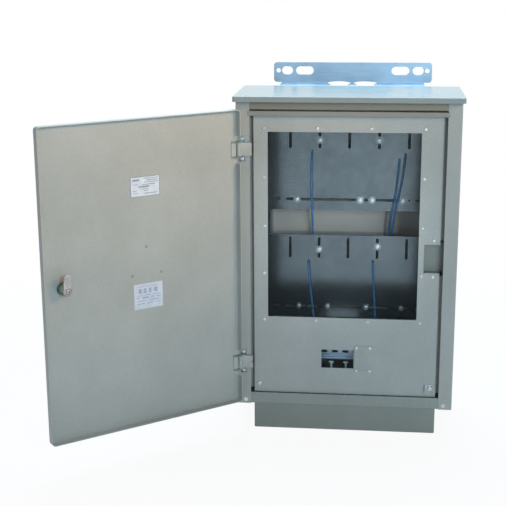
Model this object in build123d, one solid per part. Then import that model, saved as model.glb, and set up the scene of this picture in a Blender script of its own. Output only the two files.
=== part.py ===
from build123d import *
import math
import os

os.makedirs("parts", exist_ok=True)

# Electricity meter cabinet of folded sheet steel, in millimetres.
# The origin is the middle of the plinth's bolt pattern on the ground, +X to the right of
# someone at the door, +Y into the cabinet and +Z up. The door stands open, as it rests.

# Sheets and folds
body_sheet = 1.5
door_sheet = 1.5
panel_sheet = 1.5
plate_sheet = 1.5
plinth_sheet = 2.0
bracket_sheet = 3.0
bend_radius = 2.0
fit_gap = 0.5
cut_over = 1.0
least_corner = 0.5
screw_gap = 0.2

# Cabinet body
body_width = 500.0
body_depth = 210.0
body_bottom = 61.5
body_top = 786.5
jamb_width = 31.0
sill_height = 27.5
floor_flange = 12.0
corner_screw_inset = 19.0
corner_screw_rise = 9.2
corner_screw_head_radius = 4.7
lintel_drop = 29.5
lintel_return = 12.0

# Roof canopy
canopy_overhang_front = 20.0
canopy_overhang_side = 5.0
canopy_overhang_back = 6.0
canopy_lip = 12.0
canopy_corner = 5.0
canopy_notch_gap = 4.0

# Rain strip under the lintel
strip_bottom = 743.7
strip_height = 10.3
strip_overlap = 3.5
strip_leg = 13.0

# Plinth
plinth_width = 424.0
plinth_depth = 200.0
plinth_corner = 5.0
plinth_foot_flange = 30.0
plinth_top_flange = 25.0
base_bolt_inset = 17.0
base_hole_radius = 5.5
plinth_bolt_inset = 13.0
plinth_bolt_setback = 35.0

# Inner panel
panel_width = 424.0
panel_bottom = 88.0
panel_top = 750.0
panel_setback = 8.0
panel_fold = 12.0

# Meter window, measured from the edges of the panel
window_left_margin = 33.0
window_right_margin = 49.0
window_bottom_margin = 187.5
window_top_margin = 43.0
window_sheet_thickness = 3.0
window_lap = 11.5
window_screw_inset = 8.0
window_screw_columns = 4
window_screw_rows = 5

# Breaker cut-out and the blanking plate beside it
breaker_left = -54.0
breaker_width = 75.0
breaker_height = 45.7
breaker_rise = 87.9
blank_left = 22.8
blank_width = 40.0
blank_height = 66.0
blank_sheet = 1.5
blank_screw_inset = 4.5
spare_cutout_width = 24.0

# Panel screws and the sealing lug
panel_screw_inset = 13.0
panel_screw_rise = 21.5
seal_lug_width = 18.5
seal_lug_height = 17.0
seal_lug_sheet = 1.0
seal_lug_ear = 7.0
seal_lug_lap = 6.0
seal_hole_radius = 1.0
seal_hole_reach = 4.2

# Lock pocket at the right edge of the panel
pocket_width = 37.0
pocket_below_lock = 28.0
pocket_height = 66.5
pocket_depth = 22.0
pocket_sheet = 1.5
pocket_flange = 16.0
pocket_wing = 7.5
pocket_screw_inset = 15.2
pocket_screw_offset = 9.0

# Panel support rails
rail_sheet = 1.5
rail_seat = 7.0
rail_leg = 30.0
rail_bottom = 95.0
rail_top = 740.0
rail_tab_width = 16.0
rail_tab_height = 26.0
rail_notch_gap = 9.0

# Meter plates and the rails that carry them
plate_setback = 165.0
plate_width = 440.0
plate_height = 206.0
plate_return = 12.0
plate_return_gap = 1.0
lower_plate_bottom = 229.0
upper_plate_bottom = 496.5
plate_rail_x = 200.0
plate_rail_width = 30.0
plate_rail_sheet = 1.5
plate_rail_overrun = 12.0
plate_screw_inset = 16.0

# Slots of a meter plate, measured from its bottom edge and its middle
vertical_slot_pitch = 70.0
vertical_slot_count = 5
vertical_slot_width = 6.6
vertical_slot_bottom = 149.0
vertical_slot_top_margin = 6.0
row_slot_level = 26.0
row_slot_height = 6.6
row_slot_spans = [(-184.0, -163.5), (-150.5, 117.0), (122.0, 137.0), (157.0, 180.0)]
row_pilot_x = 143.5
row_pilot_radius = 2.5

# Meter bolts: places along X and above the plate's bottom edge
upper_bolt_places = [(-vertical_slot_pitch, 169.5), (vertical_slot_pitch, 170.0),
                     (-124.0, row_slot_level), (27.0, row_slot_level),
                     (55.4, row_slot_level), (129.0, row_slot_level)]
lower_bolt_places = [(-vertical_slot_pitch, 170.0), (vertical_slot_pitch, 179.0),
                     (-118.7, row_slot_level), (-48.0, row_slot_level),
                     (45.0, row_slot_level), (131.0, row_slot_level)]
meter_bolt_radius = 3.0
meter_bolt_head_radius = 5.5
meter_bolt_head_height = 4.0
meter_washer_radius = 9.0
meter_washer_thickness = 1.6
meter_nut_radius = 5.6
meter_nut_height = 5.0

# DIN rail, its stands and the tie posts
din_rail_length = 210.0
din_rail_height = 35.0
din_rail_depth = 7.5
din_rail_web = 27.0
din_rail_sheet = 1.0
din_rail_bend = 1.0
din_rail_setback = 55.0
din_slot_length = 15.0
din_slot_height = 6.2
din_slot_pitch = 25.0
din_slot_count = 7
stand_x = 96.0
stand_width = 18.0
stand_sheet = 2.0
stand_foot = 25.0
stand_overrun = 20.0
tie_post_places = [-32.5, 1.7]
tie_post_radius = 2.6
tie_post_top = 156.0
tie_post_head_length = 11.0
tie_post_head_height = 5.0
tie_post_setback = 48.0
tie_post_foot_radius = 7.0
tie_post_foot_height = 3.0

# Gland plate and grommets
gland_opening_width = 300.0
gland_opening_depth = 60.0
gland_opening_setback = 137.0
gland_plate_lap = 14.0
gland_sheet = 1.5
gland_screw_inset = 7.0
grommet_hole_radius = 8.0
grommet_flange_radius = 11.5
grommet_flange = 2.0
grommet_wall = 2.0
grommet_gap = 0.6

# Mounting brackets
bracket_width = 387.0
bracket_foot_width = 350.0
bracket_standoff = 110.0
bracket_plate_height = 50.5
bracket_drop = 33.0
bracket_corner = 8.0
bracket_top_level = 783.5
lower_bracket_level = 70.5
bracket_hole_level = 30.5
bracket_round_x = 182.0
bracket_round_radius = 5.5
bracket_short_slot_x = 160.0
bracket_short_slot_length = 27.0
bracket_long_slot_x = 117.0
bracket_long_slot_length = 43.5
bracket_slot_height = 20.0
conduit_hole_x = 32.0
conduit_hole_radius = 28.0
conduit_hole_setback = 30.0
bracket_bolt_places = [-150.0, -55.0, 55.0, 150.0]
bracket_bolt_drop = 20.0

# Hinges: places on the closed door
hinge_axis_x = -241.5
hinge_axis_setback = -14.0
hinge_levels = [167.5, 669.5]
hinge_names = ["lower", "upper"]
hinge_leaf_height = 29.5
hinge_leaf_right = -214.0
hinge_leaf_thickness = 8.0
hinge_nick_radius = 2.5
hinge_knuckle_radius = 4.2
hinge_lug_half = 1.2
hinge_pin_radius = 2.5
hinge_pin_clearance = 0.05
hinge_pin_head_radius = 4.0
hinge_pin_head_height = 2.0
hinge_ear_gap = 0.3
hinge_ear_thickness = 3.0
hinge_bracket_sheet = 2.0
hinge_bracket_right = -224.0
hinge_plate_sheet = 1.5
hinge_plate_left = -242.0
hinge_plate_right = -228.0
hinge_plate_height = 58.0
hinge_screw_x = -235.0
hinge_screw_spread = 22.5
hinge_notch_gap = 2.0

# Door
door_left = -239.0
door_width = 478.0
door_bottom = 75.0
door_top = 759.5
door_setback = 20.0
door_flange = 18.0
door_corner = 8.0
door_open_angle = 141.0

# Lock
lock_x = 192.0
lock_z = 416.0
lock_flange_radius = 15.0
lock_flange_height = 3.0
lock_flange_round = 1.0
lock_body_radius = 11.0
lock_body_reach = 26.0
lock_nut_radius = 13.5
lock_nut_height = 7.0
lock_nut_side_count = 16
rotor_radius = 7.5
rotor_clearance = 0.05
rotor_square = 10.0
key_recess_radius = 4.6
key_recess_depth = 6.0
cam_width = 23.0
cam_reach = 36.0
cam_tail = 8.0
cam_corner = 7.8
cam_thickness = 3.0
cam_gap = 1.0
cam_screw_head_radius = 6.0
cam_screw_head_height = 3.0
cam_screw_radius = 2.5
cam_screw_length = 10.0

# Screws and bolts
head_crown_share = 0.72
head_rim_share = 0.4
bolt_end = 3.0
small_screw_radius = 1.9
small_screw_head_radius = 3.6
small_screw_head_height = 2.2
panel_screw_radius = 2.5
panel_screw_head_radius = 5.0
panel_screw_head_height = 3.0
bolt_radius = 4.0
bolt_head_radius = 7.0
bolt_head_height = 5.0
earth_stud_x = -170.0
earth_stud_setback = 60.0
earth_stud_radius = 4.0
earth_stud_length = 30.0
earth_washer_radius = 10.0
earth_washer_height = 2.0

# Blue insulated leads: corners of each route, from its bare top end down
lead_radius = 2.5
lead_routes = {
    "upper_left": [(-88.0, 52.0, 640.0), (-90.0, 54.0, 590.0), (-89.0, 51.0, 535.0), (-87.0, 55.0, 490.0),
                   (-86.0, 80.0, 448.0), (-88.0, 86.0, 395.0), (-93.0, 88.0, 335.0), (-99.0, 86.0, 275.0),
                   (-105.0, 82.0, 215.0), (-110.0, 70.0, 162.0), (-112.0, 53.0, 116.0), (-113.0, 44.5, 80.0),
                   (-112.5, 42.0, 48.0), (-113.0, 42.5, 28.0)],
    "upper_right": [(118.0, 52.0, 622.0), (115.0, 54.0, 575.0), (109.0, 51.0, 525.0), (101.0, 55.0, 485.0),
                    (94.0, 80.0, 445.0), (93.0, 86.0, 395.0), (96.0, 88.0, 335.0), (100.0, 86.0, 275.0),
                    (104.0, 82.0, 215.0), (108.0, 70.0, 162.0), (110.0, 53.0, 116.0), (110.5, 44.5, 80.0),
                    (110.0, 42.0, 48.0), (110.5, 42.5, 28.0)],
    "upper_far_right": [(132.0, 50.0, 634.0), (128.0, 54.0, 588.0), (119.0, 51.0, 535.0),
                        (109.0, 55.0, 487.0), (106.0, 81.0, 445.0), (108.0, 88.0, 395.0),
                        (113.0, 90.0, 335.0), (119.0, 89.0, 275.0), (126.0, 84.0, 215.0),
                        (131.0, 71.0, 162.0), (134.0, 53.0, 116.0), (135.0, 44.5, 80.0),
                        (134.5, 42.0, 48.0), (135.0, 42.5, 28.0)],
    "lower_left": [(-96.0, 50.0, 370.0), (-92.0, 53.0, 325.0), (-86.0, 52.0, 270.0), (-80.0, 54.0, 215.0),
                   (-74.0, 50.0, 162.0), (-70.0, 45.5, 116.0), (-69.0, 43.0, 80.0), (-69.5, 42.0, 48.0),
                   (-69.0, 42.5, 28.0)],
    "lower_right": [(60.0, 50.0, 372.0), (62.0, 53.0, 325.0), (66.0, 52.0, 270.0), (69.0, 54.0, 215.0),
                    (70.0, 50.0, 162.0), (68.0, 45.5, 116.0), (66.0, 43.0, 80.0), (66.5, 42.0, 48.0),
                    (66.0, 42.5, 28.0)],
}
arc_share = 0.45

# Places worked out from the sizes above
front = -body_depth / 2
back = body_depth / 2
wall_x = body_width / 2
jamb_edge = wall_x - jamb_width
half_sheet = body_sheet / 2
floor_top = body_bottom + body_sheet
panel_front = front + panel_setback
panel_inner = panel_front + panel_sheet
panel_seat = panel_front + panel_fold
window_left = window_left_margin - panel_width / 2
window_right = panel_width / 2 - window_right_margin
window_bottom = panel_bottom + window_bottom_margin
window_top = panel_top - window_top_margin
breaker_middle = panel_bottom + breaker_rise
panel_screw_x = panel_width / 2 - panel_screw_inset
panel_screw_z = panel_bottom + panel_screw_rise
pocket_left = panel_width / 2 - pocket_width
pocket_bottom = lock_z - pocket_below_lock
pocket_screw_x = panel_width / 2 - pocket_screw_inset
plate_front = front + plate_setback
plate_back = plate_front + plate_sheet
wall_inner = back - body_sheet
breaker_bottom = breaker_middle - breaker_height / 2
hinge_axis_y = front + hinge_axis_setback
door_outer = front - door_setback
door_inner = door_outer + door_sheet
door_edge = door_outer + door_flange
pocket_top = pocket_bottom + pocket_height
pocket_back = panel_front + pocket_depth
cam_front = door_outer + door_sheet + lock_body_reach + cam_gap


def block(low, high):
    """Solid box between two corners."""
    size = [high[i] - low[i] for i in range(3)]
    middle = [(high[i] + low[i]) / 2 for i in range(3)]
    return Pos(*middle) * Box(*size)


def rod(x, y, z, radius, length, axis="y"):
    """Round bar whose middle stands at a point, along one axis."""
    turn = {"x": Rot(0, 90, 0), "y": Rot(90, 0, 0), "z": Rot(0, 0, 0)}[axis]
    return Pos(x, y, z) * turn * Cylinder(radius, length)


def upright_sheet(sketch, y, thickness):
    """Sheet standing in the XZ plane, its front face at y, drawn as X and Z."""
    plane = Plane((0, y, 0), x_dir=(1, 0, 0), z_dir=(0, -1, 0))
    return extrude(plane * sketch, amount=-thickness)


def rectangle(left, right, bottom, top):
    """Flat rectangle between two corners."""
    return Pos((left + right) / 2, (bottom + top) / 2) * Rectangle(right - left, top - bottom)


def folded_section(corners, thickness, radius=bend_radius):
    """Section of a folded sheet whose middle line runs through the corners."""
    return trace(FilletPolyline(*corners, radius=radius), thickness)


def side_folded(corners, thickness, half_length, middle=0.0):
    """Folded sheet drawn from the side as Y and Z corners, running along X."""
    section = Plane.YZ.offset(middle - half_length) * folded_section(corners, thickness)
    return extrude(section, amount=2 * half_length)


def tray(width, height, depth, thickness, corner, fold):
    """Pressed tray lying on its face at z = 0, open at the top, with folded edges."""
    outline = RectangleRounded(width, height, corner) if corner else Rectangle(width, height)
    shell = extrude(outline, amount=depth)
    shell = fillet(shell.faces().sort_by(Axis.Z)[0].edges(), fold)
    inner_corner = max(corner - thickness, least_corner)
    inner = RectangleRounded(width - 2 * thickness, height - 2 * thickness, inner_corner)
    hollow = Pos(0, 0, thickness) * extrude(inner, amount=depth)
    return shell - hollow


def screw_along_y(x, y, z, radius, length, head_radius, head_height):
    """Pan head screw: the head stands in front of the face at y and the shank goes into it."""
    crown = head_radius * head_crown_share
    rim = head_height * head_rim_share
    profile = Polyline((0, -head_height), (crown, -head_height), (head_radius, -rim), (head_radius, 0),
                       (radius, 0), (radius, length), (0, length), close=True)
    turned = revolve(Plane.XY * make_face(profile), axis=Axis.Y)
    return Pos(x, y, z) * turned


def countersunk_along_y(x, y, z, radius, length, head_radius, head_height):
    """Countersunk form: its flat head is level with the face at y and the shank goes into it."""
    profile = Polyline((0, 0), (head_radius, 0), (radius, head_height), (radius, length), (0, length),
                       close=True)
    turned = revolve(Plane.XY * make_face(profile), axis=Axis.Y)
    return Pos(x, y, z) * turned


def hex_bolt(x, y, z, direction, radius, length, head_radius, head_height):
    """Hexagon bolt: its head stands on the face at the point, its shank goes along the direction."""
    plane = Plane((x, y, z), z_dir=direction)
    head = extrude(plane * RegularPolygon(head_radius, 6), amount=-head_height)
    shank = extrude(plane * Circle(radius), amount=length)
    return head + shank


def hex_nut(x, y, z, direction, bore_radius, across, height):
    """Hexagon nut whose near face is at the point."""
    plane = Plane((x, y, z), z_dir=direction)
    return extrude(plane * (RegularPolygon(across, 6) - Circle(bore_radius)), amount=height)


def save(name, *solids):
    """Write one node's solids to its own file."""
    shape = solids[0] if len(solids) == 1 else Compound(children=list(solids))
    export_step(shape, "parts/" + name + ".step")


# Body

def corner_screw_places():
    """Places of the screws that tie the sill to the jambs, as X and Z."""
    x = wall_x - corner_screw_inset
    z = body_bottom + corner_screw_rise
    return [(-x, z), (x, z)]


def bracket_bolt_levels():
    """Heights of the bolts of the upper and the lower mounting bracket."""
    return [bracket_top_level - bracket_bolt_drop, lower_bracket_level + bracket_bolt_drop]


def make_body_wrap():
    """Back, both side walls and both front jambs, folded from one sheet."""
    x = wall_x - half_sheet
    corners = [(-jamb_edge, front + half_sheet), (-x, front + half_sheet), (-x, back - half_sheet),
               (x, back - half_sheet), (x, front + half_sheet), (jamb_edge, front + half_sheet)]
    section = Plane.XY.offset(body_bottom) * folded_section(corners, body_sheet)
    wrap = extrude(section, amount=body_top - body_bottom)
    for z in bracket_bolt_levels():
        for x in bracket_bolt_places:
            wrap -= rod(x, back, z, bolt_radius + screw_gap, 4 * body_sheet)
    for x, z in corner_screw_places():
        wrap -= countersunk_along_y(x, front, z, panel_screw_radius + screw_gap, 4 * body_sheet,
                                    corner_screw_head_radius + screw_gap, body_sheet)
    for level in hinge_levels:
        for x, z in hinge_screw_places(level):
            wrap -= rod(x, front, z, small_screw_radius + screw_gap, 4 * body_sheet)
    return wrap


def make_top_panel():
    """Top of the body, with the lintel folded down at the front and turned back in."""
    inner_x = jamb_edge - fit_gap
    z = body_top - half_sheet
    lintel_bottom = body_top - lintel_drop + half_sheet
    corners = [(wall_inner - fit_gap, z), (front + half_sheet, z), (front + half_sheet, lintel_bottom),
               (front + lintel_return, lintel_bottom)]
    panel = side_folded(corners, body_sheet, inner_x)
    wing = block((-wall_x + body_sheet + fit_gap, front + body_sheet + fit_gap, body_top - body_sheet),
                 (wall_x - body_sheet - fit_gap, wall_inner - fit_gap, body_top))
    return panel + wing


def gland_opening_range():
    """Front and back of the gland opening."""
    middle = front + gland_opening_setback
    return middle - gland_opening_depth / 2, middle + gland_opening_depth / 2


def gland_screw_places():
    """Corner screws of the gland plate."""
    near, far = gland_opening_range()
    x = gland_opening_width / 2 + gland_screw_inset
    return [(side * x, y) for side in (-1, 1) for y in (near - gland_screw_inset, far + gland_screw_inset)]


def plinth_bolt_places():
    """Bolts that hold the floor of the body to the plinth."""
    x = plinth_width / 2 - plinth_bolt_inset
    y = plinth_depth / 2 - plinth_bolt_setback
    return [(sx * x, sy * y) for sx in (-1, 1) for sy in (-1, 1)]


def make_bottom_panel():
    """Floor of the body, with the sill folded up behind the jambs and flanges on the other sides."""
    outer_x = wall_x - body_sheet - bend_radius
    near = front + body_sheet
    far = wall_inner - fit_gap
    floor_line = body_bottom + half_sheet
    corners = [(near + half_sheet, body_bottom + sill_height), (near + half_sheet, floor_line),
               (far - half_sheet, floor_line), (far - half_sheet, body_bottom + floor_flange)]
    panel = side_folded(corners, body_sheet, outer_x)
    for side in (-1, 1):
        x_edge = side * outer_x
        x_inner = side * (outer_x - body_sheet)
        low_x, high_x = min(x_edge, x_inner), max(x_edge, x_inner)
        start = near + body_sheet + bend_radius
        end = far - body_sheet - bend_radius
        panel += block((low_x, start, body_bottom), (high_x, end, body_bottom + floor_flange))
    near_gland, far_gland = gland_opening_range()
    panel -= block((-gland_opening_width / 2, near_gland, body_bottom - cut_over),
                   (gland_opening_width / 2, far_gland, floor_top + cut_over))
    for x, y in gland_screw_places():
        panel -= rod(x, y, floor_top, small_screw_radius + screw_gap, 4 * body_sheet, "z")
    for x, y in plinth_bolt_places():
        panel -= rod(x, y, floor_top, bolt_radius + screw_gap, 4 * body_sheet, "z")
    for x, z in corner_screw_places():
        panel -= rod(x, near, z, panel_screw_radius + screw_gap, 4 * body_sheet)
    panel -= rod(earth_stud_x, front + earth_stud_setback, floor_top, earth_stud_radius, 4 * body_sheet, "z")
    return panel


def make_roof_canopy():
    """Flat roof sheet with a lip folded down all round, notched where the bracket passes."""
    width = body_width + 2 * canopy_overhang_side
    depth = body_depth + canopy_overhang_front + canopy_overhang_back
    roof = tray(width, depth, canopy_lip, body_sheet, canopy_corner, bend_radius)
    middle_y = (canopy_overhang_back - canopy_overhang_front) / 2
    top = body_top + body_sheet
    roof = Pos(0, middle_y, top) * Rot(180, 0, 0) * roof
    notch_x = bracket_foot_width / 2 + canopy_notch_gap
    behind = back + canopy_overhang_back - body_sheet
    return roof - block((-notch_x, behind - fit_gap, body_top - canopy_lip - cut_over),
                        (notch_x, behind + 3 * body_sheet, body_top))


def make_rain_strip():
    """Angle across the top of the door opening: it laps the jambs and its leg goes back between them."""
    top = strip_bottom + strip_height
    face_x = jamb_edge + strip_overlap
    face = block((-face_x, front - body_sheet, strip_bottom), (face_x, front, top))
    leg_x = jamb_edge - fit_gap
    leg = block((-leg_x, front, top - body_sheet), (leg_x, front + strip_leg, top))
    return face + leg


def make_corner_screws():
    """Countersunk screws through the jambs into the sill, level with the jambs so that the door shuts."""
    return [countersunk_along_y(x, front, z, panel_screw_radius, 3 * body_sheet, corner_screw_head_radius,
                                body_sheet) for x, z in corner_screw_places()]


# Plinth and floor

def base_bolt_places():
    """Ground bolts of the plinth."""
    x = plinth_width / 2 - base_bolt_inset
    y = plinth_depth / 2 - base_bolt_inset
    return [(sx * x, sy * y) for sx in (-1, 1) for sy in (-1, 1)]


def make_plinth_collar():
    """Welded collar with a bolting flange turned in at the ground and one under the floor."""
    outer = extrude(RectangleRounded(plinth_width, plinth_depth, plinth_corner), amount=body_bottom)
    wall_width = plinth_width - 2 * plinth_sheet
    wall_depth = plinth_depth - 2 * plinth_sheet
    inner_height = body_bottom - 2 * plinth_sheet
    inner_outline = RectangleRounded(wall_width, wall_depth, plinth_corner - plinth_sheet)
    room = extrude(inner_outline, amount=inner_height)
    collar = outer - Pos(0, 0, plinth_sheet) * room
    foot = Rectangle(plinth_width - 2 * plinth_foot_flange, plinth_depth - 2 * plinth_foot_flange)
    collar -= Pos(0, 0, -cut_over) * extrude(foot, amount=3 * plinth_sheet)
    head = Rectangle(plinth_width - 2 * plinth_top_flange, plinth_depth - 2 * plinth_top_flange)
    collar -= Pos(0, 0, body_bottom - 2 * plinth_sheet) * extrude(head, amount=3 * plinth_sheet)
    for x, y in base_bolt_places():
        collar -= rod(x, y, 0, base_hole_radius, 6 * plinth_sheet, "z")
    for x, y in plinth_bolt_places():
        collar -= rod(x, y, body_bottom, bolt_radius + screw_gap, 6 * plinth_sheet, "z")
    return collar


def make_plinth_bolts():
    """Bolts from inside the body down through the floor and the plinth's top flange."""
    length = body_sheet + plinth_sheet + bolt_head_height + bolt_end
    return [hex_bolt(x, y, floor_top, (0, 0, -1), bolt_radius, length, bolt_head_radius, bolt_head_height)
            for x, y in plinth_bolt_places()]


def make_plinth_nuts():
    """Nuts under the plinth's top flange."""
    level = body_bottom - plinth_sheet
    return [hex_nut(x, y, level, (0, 0, -1), bolt_radius, bolt_head_radius, bolt_head_height)
            for x, y in plinth_bolt_places()]


def lead_at_level(points, level):
    """Where a lead's route crosses a level, as X and Y."""
    for above, below in zip(points, points[1:]):
        if above[2] >= level > below[2]:
            share = (above[2] - level) / (above[2] - below[2])
            return tuple(above[i] + (below[i] - above[i]) * share for i in (0, 1))


def grommet_places():
    """Points where the leads pass the gland plate."""
    level = floor_top + gland_sheet + grommet_flange / 2
    return [lead_at_level(points, level) for points in lead_routes.values()]


def make_gland_plate():
    """Removable plate over the gland opening, drilled for the grommets."""
    near, far = gland_opening_range()
    x = gland_opening_width / 2 + gland_plate_lap
    y_low, y_high = near - gland_plate_lap, far + gland_plate_lap
    plate = block((-x, y_low, floor_top), (x, y_high, floor_top + gland_sheet))
    for place in grommet_places():
        plate -= rod(*place, floor_top, grommet_hole_radius, 6 * gland_sheet, "z")
    for place in gland_screw_places():
        plate -= rod(*place, floor_top, small_screw_radius + screw_gap, 6 * gland_sheet, "z")
    return plate


def make_grommet(x, y):
    """Rubber grommet clipped into the gland plate: two flanges and a neck, round a lead."""
    bore = lead_radius + grommet_gap
    neck = grommet_hole_radius - fit_gap / 2
    low = floor_top - grommet_flange
    plate_top = floor_top + gland_sheet
    high = plate_top + 2 * grommet_flange
    profile = Polyline((bore, low), (grommet_flange_radius, low), (grommet_flange_radius, floor_top),
                       (neck, floor_top), (neck, plate_top), (grommet_flange_radius, plate_top),
                       (bore + grommet_wall, high), (bore, high), close=True)
    turned = revolve(Plane.XZ * make_face(profile), axis=Axis.Z)
    return Pos(x, y, 0) * turned


def make_gland_screws():
    """Screws at the corners of the gland plate."""
    screws = []
    for x, y in gland_screw_places():
        screw = screw_along_y(0, 0, 0, small_screw_radius, 5 * gland_sheet, small_screw_head_radius,
                              small_screw_head_height)
        screws.append(Pos(x, y, floor_top + gland_sheet) * Rot(-90, 0, 0) * screw)
    return screws


def make_earth_stud():
    """Earth stud welded into the floor."""
    start = body_bottom
    return rod(earth_stud_x, front + earth_stud_setback, start + earth_stud_length / 2, earth_stud_radius,
               earth_stud_length, "z")


def make_earth_nuts():
    """Washer and two nuts on the earth stud."""
    x, y = earth_stud_x, front + earth_stud_setback
    washer_plane = Plane((x, y, floor_top))
    ring = Circle(earth_washer_radius) - Circle(earth_stud_radius)
    washer = extrude(washer_plane * ring, amount=earth_washer_height)
    first = hex_nut(x, y, floor_top + earth_washer_height, (0, 0, 1), earth_stud_radius, bolt_head_radius,
                    bolt_head_height)
    second = Pos(0, 0, bolt_head_height + fit_gap) * first
    return [washer, first, second]


# Inner panel and what is on it

def window_screw_places():
    """Screws round the window: full rows above and below, and the ends of the rows between."""
    left = window_left - window_screw_inset
    right = window_right + window_screw_inset
    low = window_bottom - window_screw_inset
    high = window_top + window_screw_inset
    places = []
    for row in range(window_screw_rows):
        z = low + (high - low) * row / (window_screw_rows - 1)
        for column in range(window_screw_columns):
            x = left + (right - left) * column / (window_screw_columns - 1)
            inside_row = 0 < row < window_screw_rows - 1
            inside_column = 0 < column < window_screw_columns - 1
            if not (inside_row and inside_column):
                places.append((x, z))
    return places


def blank_screw_places():
    """Corner screws of the blanking plate."""
    x_near = blank_left + blank_screw_inset
    x_far = blank_left + blank_width - blank_screw_inset
    reach = blank_height / 2 - blank_screw_inset
    return [(x, breaker_middle + side * reach) for x in (x_near, x_far) for side in (-1, 1)]


def pocket_screw_places():
    """Screws above and below the lock pocket."""
    reach = pocket_height / 2 + pocket_screw_offset
    middle = pocket_bottom + pocket_height / 2
    return [(pocket_screw_x, middle - reach), (pocket_screw_x, middle + reach)]


def panel_screw_places():
    """Screws that hold the panel to its rails."""
    return [(-panel_screw_x, panel_screw_z), (panel_screw_x, panel_screw_z)]


def make_inner_panel():
    """Panel with folded edges, cut for the window, the breaker, the spare place and the lock."""
    height = panel_top - panel_bottom
    panel = tray(panel_width, height, panel_fold, panel_sheet, 0, bend_radius)
    panel = Pos(0, panel_front, panel_bottom + height / 2) * Rot(-90, 0, 0) * panel
    reach = panel_front - cut_over
    through = panel_inner + cut_over
    panel -= block((window_left, reach, window_bottom), (window_right, through, window_top))
    panel -= block((breaker_left, reach, breaker_bottom),
                   (breaker_left + breaker_width, through, breaker_bottom + breaker_height))
    spare_left = blank_left + (blank_width - spare_cutout_width) / 2
    panel -= block((spare_left, reach, breaker_bottom),
                   (spare_left + spare_cutout_width, through, breaker_bottom + breaker_height))
    panel -= block((pocket_left, reach, pocket_bottom), (panel_width, panel_seat + cut_over, pocket_top))
    for x, z in window_screw_places() + blank_screw_places() + pocket_screw_places():
        panel -= rod(x, panel_front, z, small_screw_radius + screw_gap, 4 * panel_sheet)
    for x, z in panel_screw_places():
        panel -= rod(x, panel_front, z, panel_screw_radius + screw_gap, 4 * panel_sheet)
    return panel


def make_window_sheet():
    """Clear sheet behind the window cut-out."""
    outline = rectangle(window_left - window_lap, window_right + window_lap, window_bottom - window_lap,
                        window_top + window_lap)
    sheet = upright_sheet(outline, panel_inner, window_sheet_thickness)
    for x, z in window_screw_places():
        sheet -= rod(x, panel_inner, z, small_screw_radius + screw_gap, 4 * window_sheet_thickness)
    return sheet


def make_small_screws(places, y, grip):
    """Small pan head screws standing on the face at y."""
    return [screw_along_y(x, y, z, small_screw_radius, grip, small_screw_head_radius, small_screw_head_height)
            for x, z in places]


def make_blank_plate():
    """Cover over the spare cut-out."""
    low = breaker_middle - blank_height / 2
    outline = rectangle(blank_left, blank_left + blank_width, low, low + blank_height)
    plate = upright_sheet(outline, panel_front - blank_sheet, blank_sheet)
    for x, z in blank_screw_places():
        plate -= rod(x, panel_front, z, small_screw_radius + screw_gap, 4 * blank_sheet)
    return plate


def make_panel_screws():
    """Long screws through the panel into its rails' tabs; the right one also clamps the seal lug."""
    screws = []
    for x, z in panel_screw_places():
        face = panel_front - seal_lug_sheet if x > 0 else panel_front
        screws.append(screw_along_y(x, face, z, panel_screw_radius, panel_fold + 4 * rail_sheet,
                                    panel_screw_head_radius, panel_screw_head_height))
    return screws


def make_seal_lug():
    """Small angle clamped by the right panel screw, with a hole for the sealing wire in its ear."""
    right = panel_screw_x + seal_lug_lap
    left = right - seal_lug_width
    low = panel_screw_z - seal_lug_height / 2
    high = low + seal_lug_height
    base = block((left, panel_front - seal_lug_sheet, low), (right, panel_front, high))
    ear = block((left, panel_front - seal_lug_ear, low), (left + seal_lug_sheet, panel_front, high))
    hole = rod(left, panel_front - seal_hole_reach, panel_screw_z, seal_hole_radius, 4 * seal_lug_sheet, "x")
    screw_hole = rod(panel_screw_x, panel_front, panel_screw_z, panel_screw_radius + screw_gap,
                     4 * seal_lug_sheet)
    return base + ear - hole - screw_hole


def make_lock_pocket():
    """Folded recess behind the lock cut-out, open to the right where the cam turns out.

    Its back runs on as a wing behind the gap beside the panel.
    """
    half = pocket_sheet / 2
    low = pocket_bottom - half
    high = pocket_top + half
    near = panel_inner + half
    far = pocket_back - half
    corners = [(near, low - pocket_flange), (near, low), (far, low), (far, high), (near, high),
               (near, high + pocket_flange)]
    right = panel_width / 2 - panel_sheet - bend_radius
    middle = (pocket_left + right) / 2
    pocket = side_folded(corners, pocket_sheet, (right - pocket_left) / 2, middle)
    pocket += block((pocket_left, panel_inner, pocket_bottom - half),
                    (pocket_left + pocket_sheet, pocket_back, pocket_top + half))
    pocket += block((right - pocket_sheet, pocket_back - pocket_sheet, pocket_bottom - half),
                    (panel_width / 2 + pocket_wing, pocket_back, pocket_top + half))
    for x, z in pocket_screw_places():
        pocket -= rod(x, panel_inner, z, small_screw_radius + screw_gap, 4 * pocket_sheet)
    return pocket


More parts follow.
